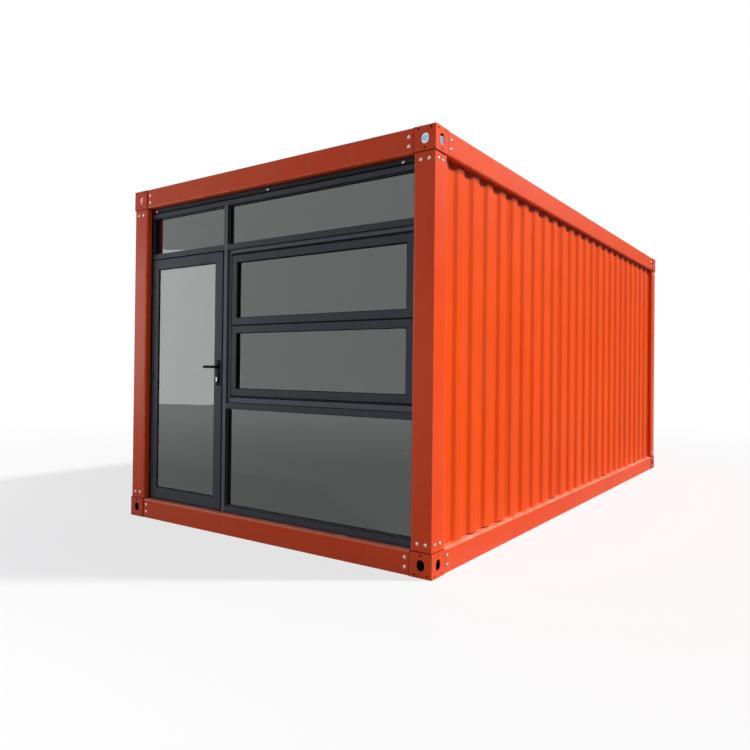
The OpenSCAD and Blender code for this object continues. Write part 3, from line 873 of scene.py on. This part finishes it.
# %% [markdown]
# The foot of each wall sheet stands on the floor beam. Below some ribs a short black
# foam filler shows where the sheet stands off; it is also painted shade in that gap.
# The fillers come in uneven lengths, as they were pushed in by hand, and a thin bead
# of sealant closes the rest.

# %% Foam fillers and sealant at the sheet's foot
FILLER_TALL, FILLER_PROUD = 0.009, 0.0012
BEAD_PROUD, BEAD_TALL = 0.0035, 0.0028
GAPS = {"right_cladding": (1, 2, 3, 8, 15, 21)}


def foot_filler(crest, run):
    """A filler under one rib: a slice of the sheet's own profile, in its local axes."""
    bm = open_line([(crest - RIB_FLANK, -RIB_DEPTH, 0), (crest, 0, 0), (crest + run, 0, 0)])
    pull_up(bm, FILLER_TALL)
    bmesh.ops.translate(bm, vec=(0, FILLER_PROUD, 0), verts=bm.verts)
    bmesh.ops.solidify(bm, geom=bm.faces[:], thickness=SHEET + FILLER_PROUD)
    return bm


rng = random.Random(11)
fillers, beads = start(), start()
for name in ("right_cladding", "left_cladding", "rear_cladding"):
    span, height, place = SHEETS[name]
    count, pitch = rib_pitch(span)
    for k in GAPS.get(name) or rng.sample(range(1, count - 1), 4):
        crest = FIRST_RIB + (k + 1) * pitch
        stamp(fillers, foot_filler(crest, rng.uniform(0.035, 0.06)), [place])
    bead = start()
    block(bead, (0, -RIB_DEPTH - SHEET, 0), (span, BEAD_PROUD, BEAD_TALL), 0.0009)
    stamp(beads, bead, [place])
piece("foot_fillers_and_shade", fillers, [RUBBER_AND_SHADE])
piece("foot_sealant", beads, [SEALANT])

# %% [markdown]
# ## Roof
# Nothing of the roof shows from the ground. It is taken to be laid as the walls are:
# a ribbed sheet fixed to the purlins with washered screws, and an angle flashing that
# closes its edges against the beams.

# %% Roof screws and flashing
SCREW_OUTLINE = [(0, 0), (0.009, 0), (0.009, 0.0012), (0.0046, 0.0018), (0.0046, 0.0050),
                 (0.0036, 0.0058), (0, 0.0058)]
FLASH_WIDE, FLASH_TALL, FLASH_THICK = 0.075, 0.026, 0.0015
PURLINS, PURLIN_WIDE = 8, 0.050
purlin_low, purlin_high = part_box("roof_purlins")
step = (purlin_high.y - purlin_low.y - PURLIN_WIDE) / (PURLINS - 1)
first = purlin_low.y + PURLIN_WIDE / 2
count, pitch = rib_pitch(2 * BAY_X)
screw_places = [
    facing(Z, (RIB_START - RIB_CREST / 2 + k * pitch - BAY_X, first + row * step, ROOF_CREST))
    for row in range(1, PURLINS - 1) for k in range(1, count)]
screws = start()
stamp(screws, lathe(SCREW_OUTLINE, 8), screw_places)
piece("roof_screws", screws, [BOLT_ZINC])

flashing = start()
for side in (-1, 1):
    for half, reach, turn, short in ((BAY_X, BAY_Y, 0.0, 0), (BAY_Y, BAY_X, math.pi / 2, 1)):
        edge = start()
        flat, lip = reach - short * FLASH_WIDE, reach - short * FLASH_THICK
        block(edge, (half - FLASH_WIDE, -flat, ROOF_CREST),
              (half - FLASH_THICK, flat, ROOF_CREST + FLASH_THICK), 0.0005, 1)
        block(edge, (half - FLASH_THICK, -lip, ROOF_CREST),
              (half, lip, ROOF_CREST + FLASH_TALL), 0.0005, 1)
        if side < 0:
            turn += math.pi
        stamp(flashing, edge, [Matrix.Rotation(turn, 4, "Z")])
piece("roof_flashing", flashing, [SHEET_PAINT])
print("roof screws:", len(screw_places))

# %% [markdown]
# ## Linings, floor and bearers
# Inside, the walls and ceiling are flat sandwich panels. A panel is about as wide as five
# ribs, and neighbours meet in a fine V joint, so each wall is a row of blocks with
# softened edges. A skirting and a cove trim cover the corners.

# %% Wall, ceiling and floor panels
def panel_row(name, parts, axis, material):
    """Replaces a flat panel with a row of panels that meet in V joints."""
    low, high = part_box(name)
    bm = start()
    stride = (high[axis] - low[axis]) / parts
    for k in range(parts):
        a, b = low.copy(), high.copy()
        a[axis], b[axis] = low[axis] + k * stride, low[axis] + (k + 1) * stride
        block(bm, a, b, 0.0015)
    piece(f"{name}_joined", bm, [material], [name])


for name, parts, axis in (("right_wall_panel", 5, 1), ("left_wall_panel", 5, 1),
                          ("rear_wall_panel", 3, 0), ("ceiling_panel", 6, 1)):
    panel_row(name, parts, axis, PANEL_COATING)
panel_row("floor_board", 5, 1, FLOORING)
for name in ("floor_joists", "roof_purlins"):
    softened(name, 0.001, ZINC)

# %% Skirting and cove
BACK_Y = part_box("frame_head")[1].y
SKIRT_TALL, SKIRT_THICK, COVE = 0.060, 0.010, 0.030
trims = start()
for z0, z1, thick in ((FLOOR, FLOOR + SKIRT_TALL, SKIRT_THICK), (EAVES - COVE, EAVES, COVE)):
    for side in (-1, 1):
        inner, outer = sorted((side * (BAY_X - thick), side * BAY_X))
        block(trims, (inner, BACK_Y, z0), (outer, BAY_Y, z1), 0.003)
    block(trims, (-BAY_X, BAY_Y - thick, z0), (BAY_X, BAY_Y, z1), 0.003)
piece("skirting_and_cove", trims, [PANEL_COATING])

# %% [markdown]
# ## Window wall
# The bars are extruded aluminium with a dark powder coat. Their corners are crisp but
# never sharp. The trim strip under the roof beam is painted the darkest, as painted shade
# of the roof beam over it, and is left matt; the mullion and the sashes' surround are a
# little lighter than the rest.

# %% Bars of the window wall
# The head trim's coat is painted shade of the roof beam.
BARS = {
    "head_trim": DARK_COAT_AND_SHADE, "frame_head": SASH_COATING, "frame_sill": SASH_COATING,
    "frame_jambs": SASH_COATING, "transom_bars": SASH_COATING, "mullion": BAR_COATING,
    "sash_surround": BAR_COATING,
}
for name, coat in BARS.items():
    softened(name, 0.0012, coat)

# %% [markdown]
# Sashes, the door leaf, beads and gaskets are all flat frames with mitred corners. One
# square face is inset to a ring, the ring is split at its four mitres, and every bar
# then gets its depth and its own softened edges, so that the mitre shows as a fine line.

# %% A mitred frame
def mitred_frame(bm, low, high, width, edge=0.001, extra_foot=0.0):
    """Four mitred bars between two corners, in a plane across Y."""
    low, high = Vector(low), Vector(high)
    size = high - low
    place = (Matrix.Translation((low.x + size.x / 2, low.y, low.z + size.z / 2))
             @ Matrix.Rotation(math.pi / 2, 4, "X")
             @ Matrix.Diagonal((size.x, size.z, 1, 1)))
    made = bmesh.ops.create_grid(bm, x_segments=1, y_segments=1, size=0.5, matrix=place)
    plate = made["verts"][0].link_faces[0]
    ring = bmesh.ops.inset_region(bm, faces=[plate], thickness=width, depth=0,
                                  use_boundary=True, use_even_offset=True)["faces"]
    foot = sorted(plate.verts, key=lambda v: v.co.z)[:2]
    bmesh.ops.translate(bm, verts=foot, vec=(0, 0, extra_foot))
    bmesh.ops.delete(bm, geom=[plate], context="FACES")
    mitres = {e for f in ring for e in f.edges if len(e.link_faces) == 2}
    bmesh.ops.split_edges(bm, edges=list(mitres))
    before = set(bm.verts) - {v for f in ring for v in f.verts}
    bmesh.ops.solidify(bm, geom=ring, thickness=size.y)
    new = {e for v in bm.verts if v not in before for e in v.link_edges}
    bevel(bm, [e for e in new if e.is_manifold and e.calc_face_angle() > CREASE], edge)


def frame_round(bm, pane, width, front, back, spread=0.0, edge=0.001):
    """A mitred frame round the edge of a pane's box, between two planes across Y."""
    low, high = pane
    mitred_frame(bm, (low.x - spread, front, low.z - spread),
                 (high.x + spread, back, high.z + spread), width, edge)


# %% Where the panes are
def panes_of(name):
    """Lowest and highest corner of each separate pane in a glass node."""
    bm = merged_copy(name)
    left, found = set(bm.verts), []
    while left:
        cluster, edge = set(), {left.pop()}
        while edge:
            cluster |= edge
            edge = {e.other_vert(v) for v in edge for e in v.link_edges} - cluster
        left -= cluster
        low = Vector([min(v.co[i] for v in cluster) for i in range(3)])
        high = Vector([max(v.co[i] for v in cluster) for i in range(3)])
        found.append((low, high))
    bm.free()
    return sorted(found, key=lambda box: (box[0].x, box[0].z))


TOP_PANES, LOW_PANES = panes_of("top_light_glass"), panes_of("fixed_light_glass")
SASH_PANES, DOOR_PANES = panes_of("sash_glass"), panes_of("door_glass")
print("panes:", len(TOP_PANES), len(LOW_PANES), len(SASH_PANES), len(DOOR_PANES))

# %% [markdown]
# Each fixed pane stands behind the bars. A grey bead holds it from outside and another
# from inside, with black rubber between bead and glass, and a thin rubber lip closes the
# joint between bead and bar, painted shade in that joint. Every one of these is a mitred
# frame of its own depth.

# %% Beads and gaskets of the fixed panes, outside and inside
FACE_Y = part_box("mullion")[0].y
BEAD_WIDE, BEAD_DEEP = 0.005, 0.014
GASKET_WIDE, GASKET_DEEP = 0.006, 0.006
LIP_WIDE, LIP_IN = 0.0015, 0.001
beads, gaskets = start(), start()
for pane in TOP_PANES + LOW_PANES:
    glass_front, glass_back = pane[0].y, pane[1].y
    bead_back, inner_bead = glass_front - GASKET_DEEP, glass_back + GASKET_DEEP
    bead_front = bead_back - BEAD_DEEP
    # The lip: black rubber that is painted shade in the joint.
    frame_round(gaskets, pane, LIP_WIDE, FACE_Y + LIP_IN, bead_front, edge=0.0004)
    frame_round(beads, pane, BEAD_WIDE, bead_front, bead_back)
    frame_round(gaskets, pane, GASKET_WIDE, bead_back, glass_front)
    frame_round(gaskets, pane, GASKET_WIDE, glass_back, inner_bead)
    frame_round(beads, pane, BEAD_WIDE, inner_bead, BACK_Y)
piece("fixed_pane_beads", beads, [SASH_COATING])
piece("fixed_pane_gaskets_and_shade", gaskets, [RUBBER_AND_SHADE])

# %% [markdown]
# A sash is a mitred frame round its pane. Rubber holds the glass in it, and a flat
# gasket round the sash closes the gap to the bars, which shows as a dark line: rubber,
# and painted shade in the gap.

# %% Opening sashes
SASH_WIDE, SASH_LIP, LIP_BACK = 0.056, 0.004, 0.001
SEAL_WIDE, SEAL_DEEP = 0.006, 0.006
GAP_OUT, GAP_WIDE, GAP_PROUD, FACE_DEEP = 0.0019, 0.0062, 0.0012, 0.002
seals = start()
for name, pane in zip(("lower_sash", "upper_sash"), SASH_PANES):
    sash = start()
    mitred_frame(sash, *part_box(name), SASH_WIDE, 0.0016)
    piece(f"{name}_mitred", sash, [SASH_COATING], [name])
    face, glass_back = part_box(name)[0].y, pane[1].y
    frame_round(seals, pane, SASH_LIP, face + LIP_BACK, pane[0].y)
    frame_round(seals, pane, SEAL_WIDE, glass_back, glass_back + SEAL_DEEP, edge=0.0015)
    # Flat gasket in the gap round the sash: rubber and painted shade.
    frame_round(seals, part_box(name), GAP_WIDE, face - GAP_PROUD, face + FACE_DEEP,
                spread=GAP_OUT, edge=0.0005)
frame_round(seals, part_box("sash_surround"), SASH_LIP, face - GAP_PROUD, face + FACE_DEEP,
            edge=0.0005)
piece("sash_seals_and_shade", seals, [RUBBER_AND_SHADE])

# %% [markdown]
# Three screws hold the trim strip under the roof beam. Rubber seals the window wall to
# the posts and beams: a wide flat strip and a narrow raised one at each side, one strip
# along the foot, one under the roof beam, and one in the groove of the trim. These
# black strips are also painted shade in the gaps round the window wall.

# %% Trim screws and wall seals
TRIM_SCREWS, TRIM_SCREW_DOWN = (-1.28, 0.03, 1.225), 0.023
SIDE_SEALS = ((0.005, 0.004), (0.013, 0.001))       # how wide, and how far proud
FOOT_SEAL, FOOT_PROUD, HEAD_SEAL = 0.0055, 0.001, 0.004
GROOVE_DOWN, GROOVE_IN, GROOVE_SHORT = 0.033, (0.004, 0.020), 0.005
screws = start()
stamp(screws, bolt(steps=12),
      [facing(-Y, (x, FACE_Y, EAVES - TRIM_SCREW_DOWN)) for x in TRIM_SCREWS])
piece("trim_screws", screws, [BOLT_ZINC, RUBBER_AND_SHADE])


def face_seal(bm, x0, x1, z0, z1, proud, edge=0.0008):
    """A flat rubber strip that stands proud of the bars' outer face."""
    block(bm, (x0, FACE_Y - proud, z0), (x1, FACE_Y + FACE_DEEP, z1), edge)


wall_seal = start()
for side in (-1, 1):
    for wide, proud in SIDE_SEALS:
        inner, outer = sorted((side * (BAY_X - wide), side * BAY_X))
        face_seal(wall_seal, inner, outer, FLOOR, EAVES, proud)
face_seal(wall_seal, -BAY_X, BAY_X, FLOOR, FLOOR + FOOT_SEAL, FOOT_PROUD)
face_seal(wall_seal, -BAY_X, BAY_X, EAVES - HEAD_SEAL, EAVES, HEAD_SEAL, 0.0015)
groove_front, groove_back = (FACE_Y + depth for depth in GROOVE_IN)
block(wall_seal, (-BAY_X + GROOVE_SHORT, groove_front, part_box("head_trim")[0].z),
      (BAY_X - GROOVE_SHORT, groove_back, EAVES - GROOVE_DOWN), 0.001, 1)
piece("wall_seals_and_shade", wall_seal, [RUBBER_AND_SHADE])

# %% [markdown]
# ## Door
# The leaf is four mitred bars round a single pane, with the bottom rail a little deeper.
# A rubber bulb on the stops takes up the gap when the door is shut. It stays a
# millimetre off the leaf, because a real bulb is squeezed and this one is rigid. Thin
# rubber also lines the rebate round the leaf, and a strip on the leaf's lock edge meets
# it, so the gap round the door is dark: the lining and the strip are painted shade.

# %% Door leaf and its seals
STILE, LOW_RAIL, LEAF_EDGE = 0.080, 0.088, 0.0016
OUTER_GLAZING, INNER_GLAZING, GLAZING_DEEP = 0.008, 0.014, 0.005
leaf_low, leaf_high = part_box("door_leaf")
leaf = start()
mitred_frame(leaf, leaf_low, leaf_high, STILE, LEAF_EDGE, extra_foot=LOW_RAIL - STILE)
piece("door_leaf_mitred", leaf, [SASH_COATING], ["door_leaf"], body="door")

door_seals = start()
for pane in DOOR_PANES:
    front, back = pane[0].y, pane[1].y
    frame_round(door_seals, pane, OUTER_GLAZING, front - GLAZING_DEEP, front, edge=0.0015)
    frame_round(door_seals, pane, INNER_GLAZING, back, leaf_high.y, edge=0.0015)
piece("door_pane_seals", door_seals, [RUBBER_AND_SHADE], body="door")

# %% Seals between the leaf and the bars
BULB_CLEAR, BULB_DEEP, REBATE_SEAL, REBATE_IN = 0.001, 0.006, 0.0015, 0.003
HINGE_BULB, LOCK_BULB = (0.0, 0.005), (-0.007, -0.001)    # from each edge of the leaf
LOCK_SEAL, EDGE_SEAL = (-0.0035, 0.004), (-0.001, 0.0008)   # from the bar, and the leaf
SHORT = 0.002                             # how much shorter the strip on the leaf is
JAMB_GAP, LOCK_GAP, HEAD_GAP, FOOT_GAP = 0.008, 0.012, 0.009, 0.005
jamb_x, lock_x = leaf_low.x - JAMB_GAP, leaf_high.x + LOCK_GAP
head_z, foot_z = leaf_high.z + HEAD_GAP, leaf_low.z - FOOT_GAP
seal_front, seal_back = leaf_low.y + REBATE_IN, leaf_high.y
bulb = start()
for edge_x, (x0, x1) in ((leaf_low.x, HINGE_BULB), (leaf_high.x, LOCK_BULB)):
    block(bulb, (edge_x + x0, seal_back + BULB_CLEAR, leaf_low.z),
          (edge_x + x1, seal_back + BULB_DEEP, leaf_high.z), 0.0018, 3)
# Rebate lining: black rubber that is painted shade in the gap round the leaf.
for x0, x1, z0, z1 in (
        (jamb_x, jamb_x + REBATE_SEAL, leaf_low.z, head_z),
        (jamb_x, lock_x, head_z - REBATE_SEAL, head_z),
        (jamb_x, lock_x, foot_z, foot_z + REBATE_SEAL)):
    block(bulb, (x0, seal_front, z0), (x1, seal_back, z1), 0.0005, 1)
face_seal(bulb, lock_x + LOCK_SEAL[0], lock_x + LOCK_SEAL[1], leaf_low.z, head_z, FOOT_PROUD)
piece("door_stop_seals_and_shade", bulb, [RUBBER_AND_SHADE])
edge_seal = start()
block(edge_seal, (leaf_high.x + EDGE_SEAL[0], seal_front, leaf_low.z + SHORT),
      (leaf_high.x + EDGE_SEAL[1], seal_back - SHORT, leaf_high.z - SHORT), 0.0005, 1)
piece("leaf_edge_seal_and_shade", edge_seal, [RUBBER_AND_SHADE], body="door")

# %% [markdown]
# Each hinge is a pair of knuckles on a pin, with a plate screwed to the jamb and one to
# the leaf. The knuckles are already turned in the model, so they only need softened ends
# and their screws. Both have the dark coat, so they hardly show beside the post.

# %% Hinges
HINGE_SCREW = [(0, 0), (0.0038, 0), (0.0038, 0.0004), (0.0024, 0.0014), (0, 0.0014)]
HINGES, KNUCKLE, KNUCKLE_GAP, BARREL, PLATE_BACK = 3, 0.0495, 0.001, 0.007, 0.005
SCREW_UP, LEAF_SCREWS, JAMB_SCREWS = 0.014, (0.018, 0.028), (-0.0115,)
for name in ("jamb_hinges", "leaf_hinges"):
    softened(name, 0.0006, DARK_COAT_AND_SHADE)
low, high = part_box("leaf_hinges")
hinge_x, plate_y = low.x + BARREL, low.y + BARREL + PLATE_BACK
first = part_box("jamb_hinges")[0].z
pitch = (high.z - 2 * KNUCKLE - KNUCKLE_GAP - first) / (HINGES - 1)
for body, part, across, lift in (("door", "leaf", LEAF_SCREWS, KNUCKLE + KNUCKLE_GAP),
                                 ("cabin", "jamb", JAMB_SCREWS, 0.0)):
    screws = start()
    stamp(screws, lathe(HINGE_SCREW, 12), [
        facing(-Y, (hinge_x + x, plate_y, first + k * pitch + lift + KNUCKLE / 2 + z))
        for k in range(HINGES) for x in across for z in (-SCREW_UP, SCREW_UP)])
    piece(f"{part}_hinge_screws", screws, [DARK_COAT_AND_SHADE], body=body)

# %% [markdown]
# The lock has a long plate on each face, a key cylinder and a lever. Everything is drawn
# for the outside and mirrored to the inside about the middle of the leaf.

# %% Lock plates and key cylinder
FLIP = Matrix.Translation((0, leaf_low.y + leaf_high.y, 0)) @ Matrix.Scale(-1, 4, Y)
plate_low, plate_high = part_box("lock_plates")
cyl_low, cyl_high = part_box("lock_cylinder")
LOCK_X, PLATE_Y = (plate_low.x + plate_high.x) / 2, plate_low.y
KEY_Z, PLATE_SCREW = (cyl_low.z + cyl_high.z) / 2, 0.012
LEVER_Z = KEY_Z + 0.090
CYLINDER, CYLINDER_OUT, CYLINDER_IN = (cyl_high.x - cyl_low.x) / 2, 0.014, 0.003
CHAMFER, TAIL, TAIL_LONG, TAIL_FROM = 0.0012, 0.005, 0.024, 0.6


def both_faces(bm, unit, x, y, z):
    """Stamps a unit on the outside of the leaf and its mirror image on the inside."""
    place = facing(-Y, (x, y, z))
    stamp(bm, unit, [place, FLIP @ place])


softened("lock_plates", 0.0014, BLACK_PAINT)
lock_screws = start()
for z in (plate_high.z - PLATE_SCREW, plate_low.z + PLATE_SCREW):
    both_faces(lock_screws, lathe(HINGE_SCREW, 12), LOCK_X, PLATE_Y, z)
piece("lock_plate_screws", lock_screws, [BLACK_PAINT], body="door")

profile, unit = start(), lathe([
    (0, -CYLINDER_IN), (CYLINDER, -CYLINDER_IN), (CYLINDER, CYLINDER_OUT - CHAMFER),
    (CYLINDER - CHAMFER, CYLINDER_OUT), (0, CYLINDER_OUT)], 28)
block(unit, (-TAIL, -TAIL_LONG, -CYLINDER_IN), (TAIL, -CYLINDER * TAIL_FROM, CYLINDER_OUT),
      CHAMFER)
both_faces(profile, unit, LOCK_X, PLATE_Y, KEY_Z)
piece("lock_cylinder_profile", profile, [NICKEL], ["lock_cylinder"],
      body="door")
key_slots, unit = start(), start()
block(unit, (-0.0007, -0.0045, -0.001), (0.0007, 0.0045, 0.0001), 0.00005, 1)
both_faces(key_slots, unit, LOCK_X, PLATE_Y - CYLINDER_OUT, KEY_Z)
piece("key_slots", key_slots, [RUBBER_AND_SHADE], body="door")

# %% [markdown]
# A lever starts as a round neck and bends into a flat arm. One ring of points is pulled
# along the path, and at each station it is turned and reshaped.

# %% Lever handles
NECK, ARM_TALL, ARM_THICK, ARM_OUT, ARM_LONG = 0.020, 0.022, 0.012, 0.033, 0.136
BEND, BEND_STEPS, TIP_STEPS, SPINDLE = 0.014, 6, 5, 0.008
TIP_FROM = ARM_LONG - ARM_TALL / 2


def stations():
    """Where the lever's ring goes: across, out, its turn, and half its thickness."""
    straight = ARM_OUT - BEND
    found = [(0, 0, 0, NECK / 2), (0, -straight, 0, NECK / 2)]
    for k in range(1, BEND_STEPS + 1):
        share = k / BEND_STEPS
        turn = math.pi / 2 * share
        found.append((-BEND * (1 - math.cos(turn)), -straight - BEND * math.sin(turn), turn,
                      NECK / 2 + (ARM_THICK - NECK) / 2 * share))
    found.append((-TIP_FROM, -ARM_OUT, math.pi / 2, ARM_THICK / 2))
    for k in range(1, TIP_STEPS + 1):
        bow = math.pi / 2 * k / (TIP_STEPS + 0.5)
        found.append((-TIP_FROM - ARM_TALL / 2 * math.sin(bow), -ARM_OUT, math.pi / 2,
                      ARM_THICK / 2 * (0.55 + 0.45 * math.cos(bow))))
    return found


def lever():
    """The outside lever, with its spindle centre at the origin and its arm along -X."""
    bm = start()
    made = bmesh.ops.create_circle(bm, cap_ends=True, radius=1.0, segments=20)["verts"]
    edges, was, left = bm.edges[:], Matrix(), stations()
    while left:
        x, y, turn, thick = left.pop(0)
        past = max(0.0, -x - TIP_FROM) / (ARM_TALL / 2)
        tall = ARM_TALL / 2 * math.sqrt(max(1 - past * past, 0.03))
        now = (Matrix.Translation((x, y, 0)) @ Matrix.Rotation(-turn, 4, "Z")
               @ facing(-Y, (0, 0, 0)) @ Matrix.Diagonal((thick, tall, 1, 1)))
        bmesh.ops.transform(bm, matrix=now @ was.inverted(), verts=made)
        was = now
        if left:
            pulled = bmesh.ops.extrude_edge_only(bm, edges=edges)["geom"]
            made = new_verts(pulled)
            edges = [e for e in pulled if isinstance(e, bmesh.types.BMEdge)
                     and e.verts[0] in made and e.verts[1] in made]
    bmesh.ops.holes_fill(bm, edges=edges)
    bmesh.ops.recalc_face_normals(bm, faces=bm.faces)
    return bm


levers, pin = start(), start()
at = Matrix.Translation((LOCK_X, PLATE_Y, LEVER_Z))
stamp(levers, lever(), [at, FLIP @ at])
across = FLIP.translation.y
bmesh.ops.create_cone(pin, cap_ends=True, segments=24, radius1=SPINDLE, radius2=SPINDLE,
                      depth=across - 2 * PLATE_Y,
                      matrix=facing(-Y, (LOCK_X, across / 2, LEVER_Z)))
stamp(levers, pin, [Matrix()])
piece("lever_handles_shaped", levers, [BLACK_PAINT], ["lever_handles"],
      body="lever")
print("lever centre height:", round(LEVER_Z, 3))

# %% [markdown]
# ## Studio
# A pale floor, a white surround and one warm lamp behind the right side, as a low sun in
# thin haze would give. The window wall is then in open shade, and the ribbed side gets
# the light at a slant that draws every fold. Two soft boxes lift the shade: one mirrors
# in the door, and one lights the foot of the window wall without showing in a pane.

# %% Floor and surround
def seen_directly(tree):
    """One for rays that come straight from the camera, a mirror or a pane."""
    path = node(tree, "LightPath").outputs
    both = math_of("MAXIMUM", path["Is Camera Ray"], path["Is Glossy Ray"])
    return math_of("MAXIMUM", both, path["Is Transmission Ray"])


def floor_material():
    """A pale matt floor that keeps the shadow and fades to white in the distance."""
    material, tree, shader = blank_material("studio_floor")
    tree.nodes.remove(shader)
    path = node(tree, "LightPath").outputs
    tone = mix_colour(path["Is Camera Ray"], (0.22, 0.22, 0.22, 1), (0.7, 0.7, 0.7, 1))
    matt = node(tree, "BsdfDiffuse", {"Color": tone}).outputs[0]
    white = node(tree, "Emission", {"Color": (1, 1, 1, 1), "Strength": 1.0}).outputs[0]
    away = node(tree, "VectorMath", {0: object_point(tree)}, operation="LENGTH").outputs["Value"]
    behind = part_of(object_point(tree), 1)
    mirrored = times(ramp(away, 6.0, 14.0, 0.58, 1.0), ramp(behind, -3.5, -1.5, 1.0, 0.15))
    seen = times(path["Is Camera Ray"], ramp(away, 4.0, 11.0, 0.72, 1.0))
    share = times(seen_directly(tree), math_of("MAXIMUM", mirrored, seen))
    lit = node(tree, "MixShader", {0: share, 1: matt, 2: white}).outputs[0]
    clear = node(tree, "BsdfTransparent").outputs[0]
    below = node(tree, "NewGeometry").outputs["Backfacing"]
    both = node(tree, "MixShader", {0: below, 1: lit, 2: clear}).outputs[0]
    fill(tree.nodes["Material Output"], {"Surface": both})
    return material


ground = bmesh.new()
bmesh.ops.create_circle(ground, cap_ends=True, radius=60, segments=64)
ground_mesh = bpy.data.meshes.new("studio_floor")
ground.to_mesh(ground_mesh)
ground.free()
ground_mesh.materials.append(floor_material())
ground_object = add_object("studio_floor", ground_mesh)

# %% [markdown]
# The sky is dim for the light it gives, and white where it is seen, straight or in a
# pane. Low down behind the room it is dark to gloss, and so is the floor there, as a row
# of trees would be. Without that the long wall, seen at a slant, would turn pale.

# %% Sky
SKY = 0.26
world = bpy.data.worlds.new("studio_world")
world.use_nodes = True
bpy.context.scene.world = world
sky = world.node_tree
heading = node(sky, "TexCoord").outputs["Generated"]
low_sky = times(ramp(part_of(heading, 1), -0.1, 0.3),
                ramp(part_of(heading, 2), 0.18, 0.30, 0.85, 0.0))
dark = times(node(sky, "LightPath").outputs["Is Glossy Ray"], low_sky)
seen = seen_directly(sky)
strength = math_of("SUBTRACT", ramp(seen, 0.0, 1.0, SKY, 1.0), dark)
shade = mix_colour(seen, (0.88, 0.96, 1.22, 1), (1, 1, 1, 1))
fill(sky.nodes["Background"], {"Color": shade, "Strength": strength})

# %% Lamps
SUN_BEHIND, SUN_UP = math.radians(37), math.radians(39.5)
sun_from = Vector((math.cos(SUN_UP) * math.cos(SUN_BEHIND),
                   math.cos(SUN_UP) * math.sin(SUN_BEHIND), math.sin(SUN_UP)))
sun = bpy.data.lights.new("broad_lamp", "SUN")
sun.energy = 4.5
sun.color = (1.0, 0.97, 0.9)
sun.angle = math.radians(5)
add_object("broad_lamp", sun, turned=sun_from.to_track_quat("Z", "Y"))


def soft_box(name, at, to, size, energy, mirrored):
    """A rectangular lamp that shines from one point towards another.

    mirrored says whether it shows in panes and gloss.
    """
    at, to = Vector(at), Vector(to)
    lamp = bpy.data.lights.new(name, "AREA")
    lamp.shape = "RECTANGLE"
    lamp.size, lamp.size_y = size
    lamp.energy = energy
    made = add_object(name, lamp, at, (to - at).to_track_quat("-Z", "Y"))
    made.visible_camera = False
    made.visible_glossy = mirrored


soft_box("door_fill", (-3.96, -5.0, 1.82), (-1.16, -2.7, 1.57), (2.0, 2.1), 19, True)
soft_box("low_fill", (0.9, -6.2, 0.8), (0.7, -3.0, 0.8), (3.0, 1.4), 15, False)

# %% [markdown]
# The camera stands at eye height off the front right corner, a few paces away, so near
# things are clearly larger than far ones.

# %% Camera
CAMERA_AT = Vector((3.5088, -6.5223, 1.2861))
AZIMUTH, ELEVATION, ROLL = (math.radians(a) for a in (35.162, -0.475, 0.622))
back = Vector((math.sin(AZIMUTH) * math.cos(ELEVATION),
               -math.cos(AZIMUTH) * math.cos(ELEVATION), math.sin(ELEVATION)))
level = Z.cross(back).normalized()
upright = back.cross(level)
right = math.cos(ROLL) * level + math.sin(ROLL) * upright
up = -math.sin(ROLL) * level + math.cos(ROLL) * upright
lens = bpy.data.cameras.new("camera")
lens.sensor_width, lens.lens = 36.0, 31.77
lens.shift_x, lens.shift_y = 0.0062, -0.0153
lens.clip_start, lens.clip_end = 0.05, 500
turned = Matrix((right, up, back)).transposed().to_quaternion()
camera = add_object("camera", lens, CAMERA_AT, turned)
bpy.context.scene.camera = camera
bpy.context.scene.view_settings.view_transform = "Standard"
